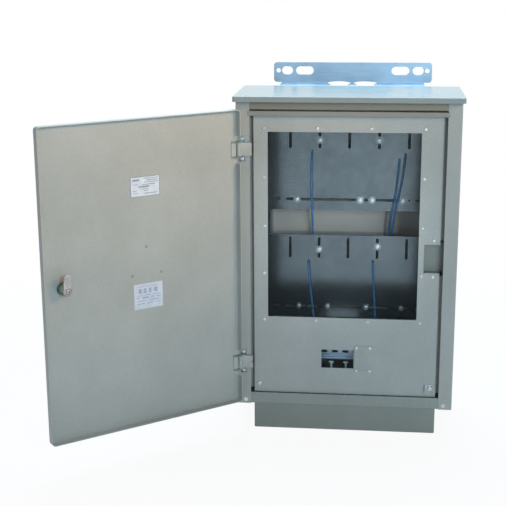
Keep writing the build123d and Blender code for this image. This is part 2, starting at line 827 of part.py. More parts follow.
def make_panel_rails():
    """Angles inside the jambs that the panel's folded edges rest on, with a tab for each panel screw."""
    rails = []
    wall = wall_x - body_sheet
    seat_x = panel_width / 2 - rail_seat
    half = rail_sheet / 2
    for side in (-1, 1):
        corners = [(side * seat_x, panel_seat + half), (side * (wall - half), panel_seat + half),
                   (side * (wall - half), panel_seat + rail_leg)]
        section = Plane.XY.offset(rail_bottom) * folded_section(corners, rail_sheet)
        rail = extrude(section, amount=rail_top - rail_bottom)
        inner = side * (seat_x - rail_tab_width)
        outer = side * (seat_x + cut_over)
        low_x, high_x = min(inner, outer), max(inner, outer)
        rail += block((low_x, panel_seat, panel_screw_z - rail_tab_height / 2),
                      (high_x, panel_seat + rail_sheet, panel_screw_z + rail_tab_height / 2))
        rail -= rod(side * panel_screw_x, panel_seat, panel_screw_z, panel_screw_radius + screw_gap,
                    4 * rail_sheet)
        if side > 0:
            notch_right = panel_width / 2 + rail_notch_gap
            rail -= block((0, panel_seat - cut_over, pocket_bottom - rail_notch_gap),
                          (notch_right, panel_seat + 2 * rail_sheet, pocket_top + rail_notch_gap))
        rails.append(rail)
    return rails


# Meter plates

def vertical_slots():
    """Middle line places of the upright slots."""
    middle = (vertical_slot_count - 1) / 2
    return [(index - middle) * vertical_slot_pitch for index in range(vertical_slot_count)]


def plate_screw_places(bottom):
    """Fixing screws at the corners of a meter plate."""
    high = bottom + plate_height - plate_screw_inset
    return [(side * plate_rail_x, z) for side in (-1, 1) for z in (bottom + plate_screw_inset, high)]


def make_meter_plate(bottom):
    """Galvanised plate with upright slots, a slotted row and stiffening returns at top and bottom."""
    outline = rectangle(-plate_width / 2, plate_width / 2, bottom, bottom + plate_height)
    slot_top = plate_height - vertical_slot_top_margin
    for x in vertical_slots():
        length = slot_top - vertical_slot_bottom
        place = Pos(x, bottom + (slot_top + vertical_slot_bottom) / 2)
        outline -= place * Rot(0, 0, 90) * SlotOverall(length, vertical_slot_width)
    for left, right in row_slot_spans:
        place = Pos((left + right) / 2, bottom + row_slot_level)
        outline -= place * SlotOverall(right - left, row_slot_height)
    outline -= Pos(row_pilot_x, bottom + row_slot_level) * Circle(row_pilot_radius)
    plate = upright_sheet(outline, plate_front, plate_sheet)
    return_x = plate_rail_x - plate_rail_width / 2 - plate_return_gap
    start = plate_front + plate_sheet / 2
    for low in (bottom, bottom + plate_height - plate_sheet):
        plate += block((-return_x, start, low), (return_x, plate_front + plate_return, low + plate_sheet))
    for x, z in plate_screw_places(bottom):
        plate -= rod(x, plate_front, z, panel_screw_radius + screw_gap, 4 * plate_sheet)
    return plate


def make_plate_rails():
    """Channels on the back wall that carry both meter plates."""
    rails = []
    half = plate_rail_sheet / 2
    reach = plate_rail_width / 2 - half
    low = lower_plate_bottom - plate_rail_overrun
    high = upper_plate_bottom + plate_height + plate_rail_overrun
    for side in (-1, 1):
        x = side * plate_rail_x
        corners = [(x - reach, wall_inner), (x - reach, plate_back + half), (x + reach, plate_back + half),
                   (x + reach, wall_inner)]
        section = Plane.XY.offset(low) * folded_section(corners, plate_rail_sheet)
        rail = extrude(section, amount=high - low)
        for bottom in (lower_plate_bottom, upper_plate_bottom):
            for place_x, z in plate_screw_places(bottom):
                if place_x * side > 0:
                    rail -= rod(place_x, plate_back, z, panel_screw_radius + screw_gap, 6 * plate_rail_sheet)
        rails.append(rail)
    return rails


def make_plate_screws():
    """Screws through the meter plates into the channels."""
    screws = []
    for bottom in (lower_plate_bottom, upper_plate_bottom):
        for x, z in plate_screw_places(bottom):
            screws.append(screw_along_y(x, plate_front, z, panel_screw_radius, 5 * plate_sheet,
                                        panel_screw_head_radius, panel_screw_head_height))
    return screws


def make_meter_bolts(bottom, places):
    """Bolts standing in the slots, their heads on the washers."""
    head_seat = plate_front - meter_washer_thickness
    length = meter_washer_thickness + plate_sheet + meter_nut_height + bolt_end
    return [screw_along_y(x, head_seat, bottom + z, meter_bolt_radius, length, meter_bolt_head_radius,
                          meter_bolt_head_height) for x, z in places]


def make_meter_washers(bottom, places):
    """Broad washers under the bolt heads."""
    ring = Circle(meter_washer_radius) - Circle(meter_bolt_radius + screw_gap)
    seat = plate_front - meter_washer_thickness
    return [upright_sheet(Pos(x, bottom + z) * ring, seat, meter_washer_thickness) for x, z in places]


def make_meter_nuts(bottom, places):
    """Nuts behind the plate."""
    size = (meter_bolt_radius, meter_nut_radius, meter_nut_height)
    return [hex_nut(x, plate_back, bottom + z, (0, 1, 0), *size) for x, z in places]


# DIN rail and posts

def make_din_rail():
    """Top hat rail with slots along its web."""
    half = din_rail_sheet / 2
    face = front + din_rail_setback + half
    web = front + din_rail_setback + din_rail_depth - half
    edge = din_rail_height / 2
    shoulder = din_rail_web / 2 - half
    steps = [(face, -edge), (face, -shoulder), (web, -shoulder), (web, shoulder), (face, shoulder),
             (face, edge)]
    corners = [(y, breaker_middle + rise) for y, rise in steps]
    section = Plane.YZ.offset(-din_rail_length / 2) * folded_section(corners, din_rail_sheet, din_rail_bend)
    rail = extrude(section, amount=din_rail_length)
    first = -(din_slot_count - 1) / 2 * din_slot_pitch
    for index in range(din_slot_count):
        slot = SlotOverall(din_slot_length, din_slot_height)
        place = Pos(first + index * din_slot_pitch, breaker_middle)
        rail -= upright_sheet(place * slot, web - 2 * din_rail_sheet, 4 * din_rail_sheet)
    for side in (-1, 1):
        rail -= rod(side * stand_x, web, breaker_middle, panel_screw_radius + screw_gap, 4 * din_rail_sheet)
    return rail


def make_rail_stands():
    """Two strips standing on the floor, folded back at the foot, that carry the DIN rail."""
    stands = []
    half = stand_sheet / 2
    y = front + din_rail_setback + din_rail_depth + half
    for side in (-1, 1):
        foot = floor_top + half
        corners = [(y, breaker_middle + stand_overrun), (y, foot), (y + stand_foot, foot)]
        stand = side_folded(corners, stand_sheet, stand_width / 2, side * stand_x)
        stand -= rod(side * stand_x, y, breaker_middle, panel_screw_radius + screw_gap, 4 * stand_sheet)
        stands.append(stand)
    return stands


def make_din_screws():
    """Screws through the rail's web into the stands."""
    seat = front + din_rail_setback + din_rail_depth - din_rail_sheet
    return [screw_along_y(side * stand_x, seat, breaker_middle, panel_screw_radius, 5 * stand_sheet,
                          panel_screw_head_radius, panel_screw_head_height) for side in (-1, 1)]


def make_tie_posts():
    """Slim T-headed posts on the floor that incoming cores are tied to."""
    posts = []
    for x in tie_post_places:
        y = front + tie_post_setback
        stem_top = tie_post_top - tie_post_head_height / 2
        foot_middle = floor_top + tie_post_foot_height / 2
        foot = rod(x, y, foot_middle, tie_post_foot_radius, tie_post_foot_height, "z")
        stem = rod(x, y, (floor_top + stem_top) / 2, tie_post_radius, stem_top - floor_top, "z")
        head = rod(x, y, stem_top, tie_post_head_height / 2, tie_post_head_length, "x")
        posts.append(foot + stem + head)
    return posts


# Mounting brackets

def make_mounting_bracket():
    """Z-shaped bracket: a flange down the back wall, a foot and an upright slotted plate behind it."""
    half = bracket_sheet / 2
    foot_line = bracket_top_level - half
    plate_y = back + bracket_standoff + half
    radius = bend_radius + half
    near = back + half
    corners = [(near, bracket_top_level - bracket_drop), (near, foot_line), (plate_y, foot_line),
               (plate_y, bracket_top_level + bracket_corner)]
    section = Plane.YZ.offset(-bracket_foot_width / 2) * folded_section(corners, bracket_sheet, radius)
    bracket = extrude(section, amount=bracket_foot_width)
    low = bracket_top_level + bend_radius
    high = bracket_top_level + bracket_plate_height
    outline = Pos(0, (low + high) / 2) * RectangleRounded(bracket_width, high - low, bracket_corner)
    bracket += upright_sheet(outline, back + bracket_standoff, bracket_sheet)
    level = bracket_top_level + bracket_hole_level
    holes = []
    for side in (-1, 1):
        holes.append(Pos(side * bracket_round_x, level) * Circle(bracket_round_radius))
        holes.append(Pos(side * bracket_short_slot_x, level)
                     * SlotOverall(bracket_short_slot_length, bracket_slot_height))
        holes.append(Pos(side * bracket_long_slot_x, level)
                     * SlotOverall(bracket_long_slot_length, bracket_slot_height))
    for hole in holes:
        bracket -= upright_sheet(hole, back + bracket_standoff - bracket_sheet, 3 * bracket_sheet)
    conduit_y = back + bracket_standoff - conduit_hole_setback
    for side in (-1, 1):
        bracket -= rod(side * conduit_hole_x, conduit_y, foot_line, conduit_hole_radius,
                       4 * bracket_sheet, "z")
    for x in bracket_bolt_places:
        bracket -= rod(x, back, bracket_bolt_levels()[0], bolt_radius + screw_gap, 4 * bracket_sheet)
    return bracket


def make_lower_bracket(upper):
    """The same bracket upside down at the foot of the back wall."""
    mirror_level = (bracket_top_level + lower_bracket_level) / 2
    return mirror(upper, about=Plane.XY.offset(mirror_level))


def make_bracket_bolts(level):
    """Bolts through a bracket's flange and the back wall, heads outside."""
    length = bracket_sheet + body_sheet + bolt_head_height + bolt_end
    return [hex_bolt(x, back + bracket_sheet, level, (0, -1, 0), bolt_radius, length, bolt_head_radius,
                     bolt_head_height) for x in bracket_bolt_places]


def make_bracket_nuts(level):
    """Nuts inside the back wall."""
    return [hex_nut(x, wall_inner, level, (0, -1, 0), bolt_radius, bolt_head_radius, bolt_head_height)
            for x in bracket_bolt_places]


# Hinges

def make_hinge_leaf(level, notched):
    """Block on the hinge plate with a knuckle round the pin; the lower one has a nick in its right end."""
    half = hinge_leaf_height / 2
    seat = front - hinge_plate_sheet
    lug_left = hinge_axis_x - hinge_lug_half
    lug_right = hinge_axis_x + hinge_knuckle_radius
    leaf = block((lug_left, front - hinge_leaf_thickness, level - half),
                 (hinge_leaf_right, seat, level + half))
    lug = block((lug_left, hinge_axis_y, level - half), (lug_right, seat, level + half))
    knuckle = rod(hinge_axis_x, hinge_axis_y, level, hinge_knuckle_radius, hinge_leaf_height, "z")
    leaf = leaf + lug + knuckle
    leaf -= rod(hinge_axis_x, hinge_axis_y, level, hinge_pin_radius + hinge_pin_clearance,
                2 * hinge_leaf_height, "z")
    if notched:
        leaf -= rod(hinge_leaf_right, front, level, hinge_nick_radius, 6 * hinge_leaf_thickness)
    return leaf


def hinge_screw_places(level):
    """Screws of a hinge plate, as X and Z."""
    return [(hinge_screw_x, level - hinge_screw_spread), (hinge_screw_x, level + hinge_screw_spread)]


def make_hinge_plate(level):
    """Zinc plate between the leaf and the jamb, with a screwed end above and below the leaf."""
    half = hinge_leaf_height / 2
    tall = rectangle(hinge_plate_left, hinge_plate_right, level - hinge_plate_height / 2,
                     level + hinge_plate_height / 2)
    wide = rectangle(hinge_plate_left, -jamb_edge, level - half, level + half)
    plate = upright_sheet(tall + wide, front - hinge_plate_sheet, hinge_plate_sheet)
    for x, z in hinge_screw_places(level):
        plate -= rod(x, front, z, small_screw_radius + screw_gap, 4 * hinge_plate_sheet)
    return plate


def hinge_ear_levels(level):
    """Lower face of each ear of a door bracket."""
    reach = hinge_leaf_height / 2 + hinge_ear_gap
    return [level - reach - hinge_ear_thickness, level + reach]


def make_hinge_bracket(level):
    """Bracket welded into the closed door: a short base with an ear above and below the leaf."""
    base_left = door_left + door_sheet + fit_gap
    base_face = door_inner + hinge_bracket_sheet
    low, high = hinge_ear_levels(level)
    bracket = block((base_left, door_inner, low),
                    (hinge_bracket_right, base_face, high + hinge_ear_thickness))
    for ear_low in (low, high):
        eye = Pos(hinge_axis_x, hinge_axis_y) * Circle(hinge_knuckle_radius)
        root = rectangle(base_left + cut_over, hinge_bracket_right, door_inner, base_face)
        outline = make_hull(eye.edges() + root.edges())
        room = rectangle(hinge_axis_x - 2 * hinge_knuckle_radius, hinge_bracket_right, door_inner, door_edge)
        ear = Plane.XY.offset(ear_low) * (outline & room)
        bracket += extrude(ear, amount=hinge_ear_thickness)
        bracket -= rod(hinge_axis_x, hinge_axis_y, ear_low + hinge_ear_thickness / 2, hinge_pin_radius,
                       2 * hinge_ear_thickness, "z")
    return bracket


def make_hinge_pin(level):
    """Headed pin through both ears and the leaf."""
    low, high = hinge_ear_levels(level)
    top = high + hinge_ear_thickness
    pin = rod(hinge_axis_x, hinge_axis_y, (low + top) / 2, hinge_pin_radius, top - low, "z")
    head = rod(hinge_axis_x, hinge_axis_y, top + hinge_pin_head_height / 2, hinge_pin_head_radius,
               hinge_pin_head_height, "z")
    return pin + head


def make_hinge_screws(level):
    """Screws that hold a hinge plate on the jamb."""
    return make_small_screws(hinge_screw_places(level), front - hinge_plate_sheet,
                             2 * hinge_plate_sheet + body_sheet)


# Door and lock

def make_door_pan():
    """Door pressed as a shallow tray, its hinge flange notched round each hinge."""
    height = door_top - door_bottom
    pan = tray(door_width, height, door_flange, door_sheet, door_corner, bend_radius)
    middle_x = door_left + door_width / 2
    pan = Pos(middle_x, door_outer, door_bottom + height / 2) * Rot(-90, 0, 0) * pan
    for level in hinge_levels:
        reach = hinge_plate_height / 2 + hinge_notch_gap
        pan -= block((door_left - cut_over, door_inner, level - reach),
                     (door_left + door_sheet + fit_gap / 2, door_edge + cut_over, level + reach))
    return pan - rod(lock_x, door_outer, lock_z, lock_body_radius + screw_gap, 6 * door_sheet)


def make_lock_barrel():
    """Lock body: a flange outside the door and a threaded body through it."""
    flange = rod(lock_x, door_outer - lock_flange_height / 2, lock_z, lock_flange_radius, lock_flange_height)
    length = door_sheet + lock_body_reach
    body = rod(lock_x, door_outer + length / 2, lock_z, lock_body_radius, length)
    flange = fillet(flange.edges().group_by(Axis.Y)[0], lock_flange_round)
    bore = rod(lock_x, door_outer + length / 2, lock_z, rotor_radius + rotor_clearance, 4 * length)
    return flange + body - bore


def make_lock_nut():
    """Knurled nut that draws the lock body against the door."""
    outline = RegularPolygon(lock_nut_radius, lock_nut_side_count) - Circle(lock_body_radius)
    return upright_sheet(Pos(lock_x, lock_z) * outline, door_inner, lock_nut_height)


def make_lock_rotor():
    """Turning core of the lock: a triangle for the key outside and a square for the cam inside."""
    start = door_outer - lock_flange_height
    end = cam_front - cam_gap
    core = rod(lock_x, (start + end) / 2, lock_z, rotor_radius, end - start)
    square = upright_sheet(Pos(lock_x, lock_z) * Rectangle(rotor_square, rotor_square), end,
                           cam_gap + cam_thickness)
    key = upright_sheet(Pos(lock_x, lock_z) * RegularPolygon(key_recess_radius, 3), start, key_recess_depth)
    screw_hole = rod(lock_x, cam_front + cam_thickness - cam_screw_length / 2, lock_z, cam_screw_radius,
                     cam_screw_length)
    return core + square - key - screw_hole


def make_lock_cam():
    """Flat lever with round ends on the square of the core, standing up when the door is unlocked."""
    length = cam_reach + cam_tail
    middle = lock_z + (cam_reach - cam_tail) / 2
    outline = Pos(lock_x, middle) * Rot(0, 0, 90) * RectangleRounded(length, cam_width, cam_corner)
    outline -= Pos(lock_x, lock_z) * Rectangle(rotor_square, rotor_square)
    return upright_sheet(outline, cam_front, cam_thickness)


def make_cam_screw():
    """Screw that holds the cam on the core."""
    screw = screw_along_y(0, 0, 0, cam_screw_radius, cam_screw_length, cam_screw_head_radius,
                          cam_screw_head_height)
    return Pos(lock_x, cam_front + cam_thickness, lock_z) * Rot(0, 0, 180) * screw


def open_door(shape):
    """Turn a piece of the closed door to where the open door stands."""
    to_axis = Pos(hinge_axis_x, hinge_axis_y, 0)
    from_axis = Pos(-hinge_axis_x, -hinge_axis_y, 0)
    return to_axis * Rot(0, 0, -door_open_angle) * from_axis * shape


# Leads

def route_radii(points):
    """Largest arc that each corner's two runs leave room for."""
    radii = []
    for before, corner, after in zip(points, points[1:], points[2:]):
        into = Vector(*corner) - Vector(*before)
        out = Vector(*after) - Vector(*corner)
        turn = math.radians(into.get_angle(out))
        radii.append(arc_share * min(into.length, out.length) / math.tan(turn / 2))
    return radii


def make_lead(name, points):
    """Insulated lead along its route."""
    radii = route_radii(points)
    path = FilletPolyline(*points, radius=radii)
    section = Plane(path @ 0, z_dir=path % 0) * Circle(lead_radius)
    lead = sweep(section, path=path)
    print(name, "length", round(path.length, 1), "smallest radius", round(min(radii), 1),
          "volume ratio", round(lead.volume / (math.pi * lead_radius ** 2 * path.length), 4))
    return lead


# Write every piece

save("body_wrap", make_body_wrap())
save("top_panel", make_top_panel())
save("bottom_panel", make_bottom_panel())
save("roof_canopy", make_roof_canopy())
save("rain_strip", make_rain_strip())
save("corner_screws", *make_corner_screws())
save("plinth_collar", make_plinth_collar())
save("plinth_bolts", *make_plinth_bolts())
save("plinth_nuts", *make_plinth_nuts())
save("gland_plate", make_gland_plate())
save("lead_grommets", *[make_grommet(x, y) for x, y in grommet_places()])
save("gland_screws", *make_gland_screws())
save("earth_stud", make_earth_stud())
save("earth_nuts", *make_earth_nuts())

save("inner_panel", make_inner_panel())
save("window_sheet", make_window_sheet())
save("window_screws", *make_small_screws(window_screw_places(), panel_front, 2 * panel_sheet
                                         + window_sheet_thickness))
save("blank_plate", make_blank_plate())
save("blank_screws", *make_small_screws(blank_screw_places(), panel_front - blank_sheet,
                                        blank_sheet + 2 * panel_sheet))
save("panel_screws", *make_panel_screws())
save("seal_lug", make_seal_lug())
save("lock_pocket", make_lock_pocket())
save("pocket_screws", *make_small_screws(pocket_screw_places(), panel_front, 2 * panel_sheet + pocket_sheet))
save("panel_rails", *make_panel_rails())

save("upper_meter_plate", make_meter_plate(upper_plate_bottom))
save("lower_meter_plate", make_meter_plate(lower_plate_bottom))
save("plate_rails", *make_plate_rails())
save("plate_screws", *make_plate_screws())
for name, bottom, places in (("upper", upper_plate_bottom, upper_bolt_places),
                             ("lower", lower_plate_bottom, lower_bolt_places)):
    save(name + "_meter_bolts", *make_meter_bolts(bottom, places))
    save(name + "_meter_washers", *make_meter_washers(bottom, places))
    save(name + "_meter_nuts", *make_meter_nuts(bottom, places))

save("din_rail", make_din_rail())
save("rail_stands", *make_rail_stands())
save("din_rail_screws", *make_din_screws())
save("tie_posts", *make_tie_posts())

upper_bracket = make_mounting_bracket()
save("upper_mounting_bracket", upper_bracket)
save("lower_mounting_bracket", make_lower_bracket(upper_bracket))
save("bracket_bolts", *[bolt for level in bracket_bolt_levels() for bolt in make_bracket_bolts(level)])
save("bracket_nuts", *[nut for level in bracket_bolt_levels() for nut in make_bracket_nuts(level)])

for name, level in zip(hinge_names, hinge_levels):
    save(name + "_hinge_leaf", make_hinge_leaf(level, name == "lower"), make_hinge_plate(level))
    save(name + "_hinge_bracket", open_door(make_hinge_bracket(level)))
    save(name + "_hinge_pin", open_door(make_hinge_pin(level)))
save("hinge_screws", *[screw for level in hinge_levels for screw in make_hinge_screws(level)])

save("door_pan", open_door(make_door_pan()))
save("lock_barrel", open_door(make_lock_barrel()))
save("lock_nut", open_door(make_lock_nut()))
save("lock_rotor", open_door(make_lock_rotor()))
save("lock_cam", open_door(make_lock_cam()))
save("cam_screw", open_door(make_cam_screw()))

for name, points in lead_routes.items():
    save("lead_" + name, make_lead(name, points))
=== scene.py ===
# %% [markdown]
# # An electricity meter cabinet, dressed over its CAD frame
# The CAD model gives every sheet, fold and hole its place. Here it gets its look: powder
# coated steel, galvanised plates, bright zinc screws, a clear window and blue leads.
# The frame comes first, because each new piece rides on one of its bodies.

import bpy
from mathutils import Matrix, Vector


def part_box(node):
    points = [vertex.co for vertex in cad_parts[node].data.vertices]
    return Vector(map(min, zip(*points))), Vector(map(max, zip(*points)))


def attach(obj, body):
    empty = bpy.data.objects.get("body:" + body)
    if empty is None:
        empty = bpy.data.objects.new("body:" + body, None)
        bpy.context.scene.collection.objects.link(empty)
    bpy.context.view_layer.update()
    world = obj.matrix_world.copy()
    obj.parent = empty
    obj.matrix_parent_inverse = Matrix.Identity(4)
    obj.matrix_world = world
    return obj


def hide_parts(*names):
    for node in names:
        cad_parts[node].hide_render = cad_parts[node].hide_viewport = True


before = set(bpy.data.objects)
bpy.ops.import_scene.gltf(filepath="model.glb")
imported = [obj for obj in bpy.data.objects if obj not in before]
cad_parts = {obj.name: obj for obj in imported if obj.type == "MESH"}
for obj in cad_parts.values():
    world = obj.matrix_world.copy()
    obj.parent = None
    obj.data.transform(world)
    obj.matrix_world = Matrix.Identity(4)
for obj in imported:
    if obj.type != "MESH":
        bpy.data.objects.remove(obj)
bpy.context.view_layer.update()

# %% Working units and the tools used throughout
import math
import random

import bpy
from mathutils import Matrix, Vector

mm = 0.001
chance = random.Random(7)


def only(*things):
    """Leave just these objects selected, the last one active."""
    bpy.ops.object.select_all(action="DESELECT")
    for thing in things:
        thing.select_set(True)
        bpy.context.view_layer.objects.active = thing


def edit(piece, kind="FACE"):
    """Open a piece for editing in vertex, edge or face mode."""
    only(piece)
    bpy.context.tool_settings.mesh_select_mode = (kind == "VERT", kind == "EDGE", kind == "FACE")
    bpy.ops.object.mode_set(mode="EDIT")


def done():
    """Close editing."""
    bpy.ops.object.mode_set(mode="OBJECT")


def pick(piece, test, kind="FACE"):
    """Open a piece with only the faces or edges that pass a test selected."""
    mesh = piece.data
    for part in list(mesh.vertices) + list(mesh.edges) + list(mesh.polygons):
        part.select = False
    if kind == "FACE":
        for face in mesh.polygons:
            face.select = test(face.center, face.normal)
    else:
        for edge in mesh.edges:
            ends = [mesh.vertices[index].co for index in edge.vertices]
            edge.select = test(ends[0], ends[1])
            if edge.select:
                for index in edge.vertices:
                    mesh.vertices[index].select = True
    edit(piece, kind)


def apply_place(piece):
    """Put a piece's place, turn and size into its mesh."""
    only(piece)
    bpy.ops.object.transform_apply(location=True, rotation=True, scale=True)


def modify(piece, kind, **settings):
    """Add one modifier and apply it."""
    only(piece)
    modifier = piece.modifiers.new(kind.lower(), kind)
    for key, value in settings.items():
        setattr(modifier, key, value)
    bpy.ops.object.modifier_apply(modifier=modifier.name)


def smooth(piece, degrees=35):
    """Shade round surfaces smooth and keep real edges sharp."""
    only(piece)
    bpy.ops.object.shade_smooth_by_angle(angle=math.radians(degrees))


def copy_of(piece, name):
    """A copy with a mesh of its own."""
    twin = piece.copy()
    twin.data = piece.data.copy()
    twin.name = name
    bpy.context.scene.collection.objects.link(twin)
    return twin


def join(name, pieces):
    """Make one object of several."""
    only(*pieces)
    bpy.ops.object.join()
    whole = bpy.context.object
    whole.name = name
    apply_place(whole)
    return whole


def discard(*pieces):
    """Delete helpers that are no longer needed."""
    for piece in pieces:
        bpy.data.objects.remove(piece)

# %% [markdown]
# ## The view
# The camera stands a little right of the middle, above the roof's level, and looks down
# by fourteen degrees. Its place was fitted to the corners of the cabinet, so the object
# falls where the photograph has it. The small shift only frames the picture.

# %% Camera
camera_place = (0.07187, -2.6310, 1.07956)
camera_turn = 6.249
camera_tilt = 75.581
camera_roll = -0.298
camera_data = bpy.data.cameras.new("studio_camera")
camera_data.sensor_width = 36.0
camera_data.lens = 81.50
camera_data.shift_x = -0.00668
camera_data.shift_y = 0.0021
camera_data.clip_start = 0.05
camera = bpy.data.objects.new("studio_camera", camera_data)
bpy.context.scene.collection.objects.link(camera)
aim = (Matrix.Rotation(math.radians(camera_turn), 4, "Z")
       @ Matrix.Rotation(math.radians(camera_tilt), 4, "X")
       @ Matrix.Rotation(math.radians(camera_roll), 4, "Z"))
camera.matrix_world = Matrix.Translation(camera_place) @ aim
bpy.context.scene.camera = camera
bpy.context.scene.view_settings.view_transform = "Standard"
print("camera", camera_place, "lens", camera_data.lens)

# %% [markdown]
# ## Materials
# A material is a small tree of nodes. One function adds a node, sets it and links it, and
# another turns the hex colours of a paint chart into the linear values that light needs.

# %% Colour and node helpers


def linear(code):
    """Linear colour of an sRGB hex code."""
    parts = [int(code[i:i + 2], 16) / 255 for i in (1, 3, 5)]
    return tuple(c / 12.92 if c <= 0.04045 else ((c + 0.055) / 1.055) ** 2.4 for c in parts) + (1.0,)


def add(tree, kind, inputs=None, **settings):
    """Add a node, set its properties, and give its sockets numbers or links."""
    made = tree.nodes.new(kind)
    for key, value in settings.items():
        setattr(made, key, value)
    for name, value in (inputs or {}).items():
        if isinstance(value, bpy.types.NodeSocket):
            tree.links.new(value, made.inputs[name])
        else:
            made.inputs[name].default_value = value
    return made


def start(name):
    """A new material with an empty tree, its output node and Object coordinates."""
    material = bpy.data.materials.new(name)
    material.use_nodes = True
    tree = material.node_tree
    tree.nodes.clear()
    output = add(tree, "ShaderNodeOutputMaterial")
    place = add(tree, "ShaderNodeTexCoord").outputs["Object"]
    return material, tree, output, place


def ramp(tree, factor, stops):
    """Colours or greys along a factor: pairs of position and hex code."""
    made = add(tree, "ShaderNodeValToRGB", {"Fac": factor})
    made.color_ramp.elements[0].position = stops[0][0]
    made.color_ramp.elements[0].color = linear(stops[0][1])
    made.color_ramp.elements[1].position = stops[-1][0]
    made.color_ramp.elements[1].color = linear(stops[-1][1])
    for position, code in stops[1:-1]:
        made.color_ramp.elements.new(position).color = linear(code)
    return made.outputs["Color"]

# %% [markdown]
# The cabinet's paint is a baked polyester powder in pebble grey. Powder melts into a skin
# with a fine orange peel, so the highlight breaks up over about a millimetre and a half,
# and large faces drift a little in tone. Dust settles as a faint cloud on it. The roof's
# copy is glossier. The body, the browner lintel band and the rain strip take darker copies
# as painted shade, and the sill and the plinth are a darker grey.

# %% Powder coated steel
paint_ior = 1.5
dust_scale = 7.0    # clouds of dust about 140 mm wide
fleck_scale = 420.0    # specks of about 2 mm
peel_scale = 650.0    # orange peel of about 1.5 mm


def powder_coat(name, dark, light, roughness, peel):
    """Powder coat: two close tones, a satin skin and orange peel."""
    material, tree, output, place = start(name)
    cloud = add(tree, "ShaderNodeTexNoise", {"Vector": place, "Scale": dust_scale, "Detail": 4.0,
                                             "Roughness": 0.6})
    fleck = add(tree, "ShaderNodeTexNoise", {"Vector": place, "Scale": fleck_scale, "Detail": 2.0})
    both = add(tree, "ShaderNodeMath", {0: cloud.outputs["Fac"], 1: fleck.outputs["Fac"]}, operation="ADD")
    half = add(tree, "ShaderNodeMath", {0: both.outputs[0], 1: 0.5}, operation="MULTIPLY")
    colour = ramp(tree, half.outputs[0], [(0.36, dark), (0.64, light)])
    dull = add(tree, "ShaderNodeMapRange", {"Value": cloud.outputs["Fac"], "From Min": 0.3, "From Max": 0.7,
                                            "To Min": roughness - 0.05, "To Max": roughness + 0.07})
    skin = add(tree, "ShaderNodeTexNoise", {"Vector": place, "Scale": peel_scale, "Detail": 1.0})
    bump = add(tree, "ShaderNodeBump", {"Height": skin.outputs["Fac"], "Strength": peel,
                                        "Distance": 0.4 * mm})
    surface = add(tree, "ShaderNodeBsdfPrincipled", {"Base Color": colour, "IOR": paint_ior,
                                                     "Roughness": dull.outputs["Result"],
                                                     "Normal": bump.outputs["Normal"]})
    tree.links.new(surface.outputs["BSDF"], output.inputs["Surface"])
    return material


paint = powder_coat("powder_coated_steel", "#A9A7A0", "#B9B7B1", 0.40, 0.10)
# The body takes a slightly darker, rougher copy: painted shade on its jambs and back wall.
body_shade_paint = powder_coat("powder_coated_body_painted_shade", "#A7A39B", "#B7B3AB", 0.46, 0.10)
sill_paint = powder_coat("powder_coated_sill", "#92938C", "#A1A29B", 0.44, 0.12)
roof_paint = powder_coat("powder_coated_roof", "#8C9290", "#979D9B", 0.22, 0.012)
# The lintel band and the rain strip take darker copies: painted shade under the roof's lip.
lintel_shade_paint = powder_coat("powder_coated_lintel_painted_shade", "#897E6C", "#968B79", 0.46, 0.12)
strip_shade_paint = powder_coat("powder_coated_strip_painted_shade", "#8B8780", "#98948B", 0.46, 0.12)
plinth_paint = powder_coat("powder_coated_plinth", "#85877F", "#96978F", 0.50, 0.16)
print("paints made, orange peel about", round(1000 / peel_scale, 1), "mm")

# %% [markdown]
# Galvanised sheet is dipped in zinc, which freezes in flat crystals about a centimetre
# wide. Each crystal mirrors a little differently, so a Voronoi pattern moves the colour
# and the roughness. Electroplated zinc is finer and bluer, and keeps the faint lines of
# the sheet's rolling. Cast and weathered zinc has the same clouds without those lines.

# %% Zinc and steel
crystal_contrast = 0.22


def galvanised(name, dark, light, metallic, roughness, grain_mm):
    """Hot dipped zinc with its crystals, their width in millimetres."""
    material, tree, output, place = start(name)
    crystals = add(tree, "ShaderNodeTexVoronoi", {"Vector": place, "Scale": 1000.0 / grain_mm,
                                                  "Randomness": 1.0})
    tone = add(tree, "ShaderNodeSeparateColor", {"Color": crystals.outputs["Color"]})
    cloud = add(tree, "ShaderNodeTexNoise", {"Vector": place, "Scale": 12.0, "Detail": 5.0,
                                             "Roughness": 0.65})
    mixed = add(tree, "ShaderNodeMath", {0: tone.outputs[0], 1: crystal_contrast, 2: cloud.outputs["Fac"]},
                operation="MULTIPLY_ADD")
    colour = ramp(tree, mixed.outputs[0], [(0.35, dark), (0.85, light)])
    dull = add(tree, "ShaderNodeMapRange", {"Value": tone.outputs[1], "To Min": roughness - 0.02,
                                            "To Max": roughness + 0.03})
    bump = add(tree, "ShaderNodeBump", {"Height": cloud.outputs["Fac"], "Strength": 0.05,
                                        "Distance": 0.5 * mm})
    surface = add(tree, "ShaderNodeBsdfPrincipled", {"Base Color": colour, "Metallic": metallic,
                                                     "Roughness": dull.outputs["Result"],
                                                     "Normal": bump.outputs["Normal"]})
    tree.links.new(surface.outputs["BSDF"], output.inputs["Surface"])
    return material


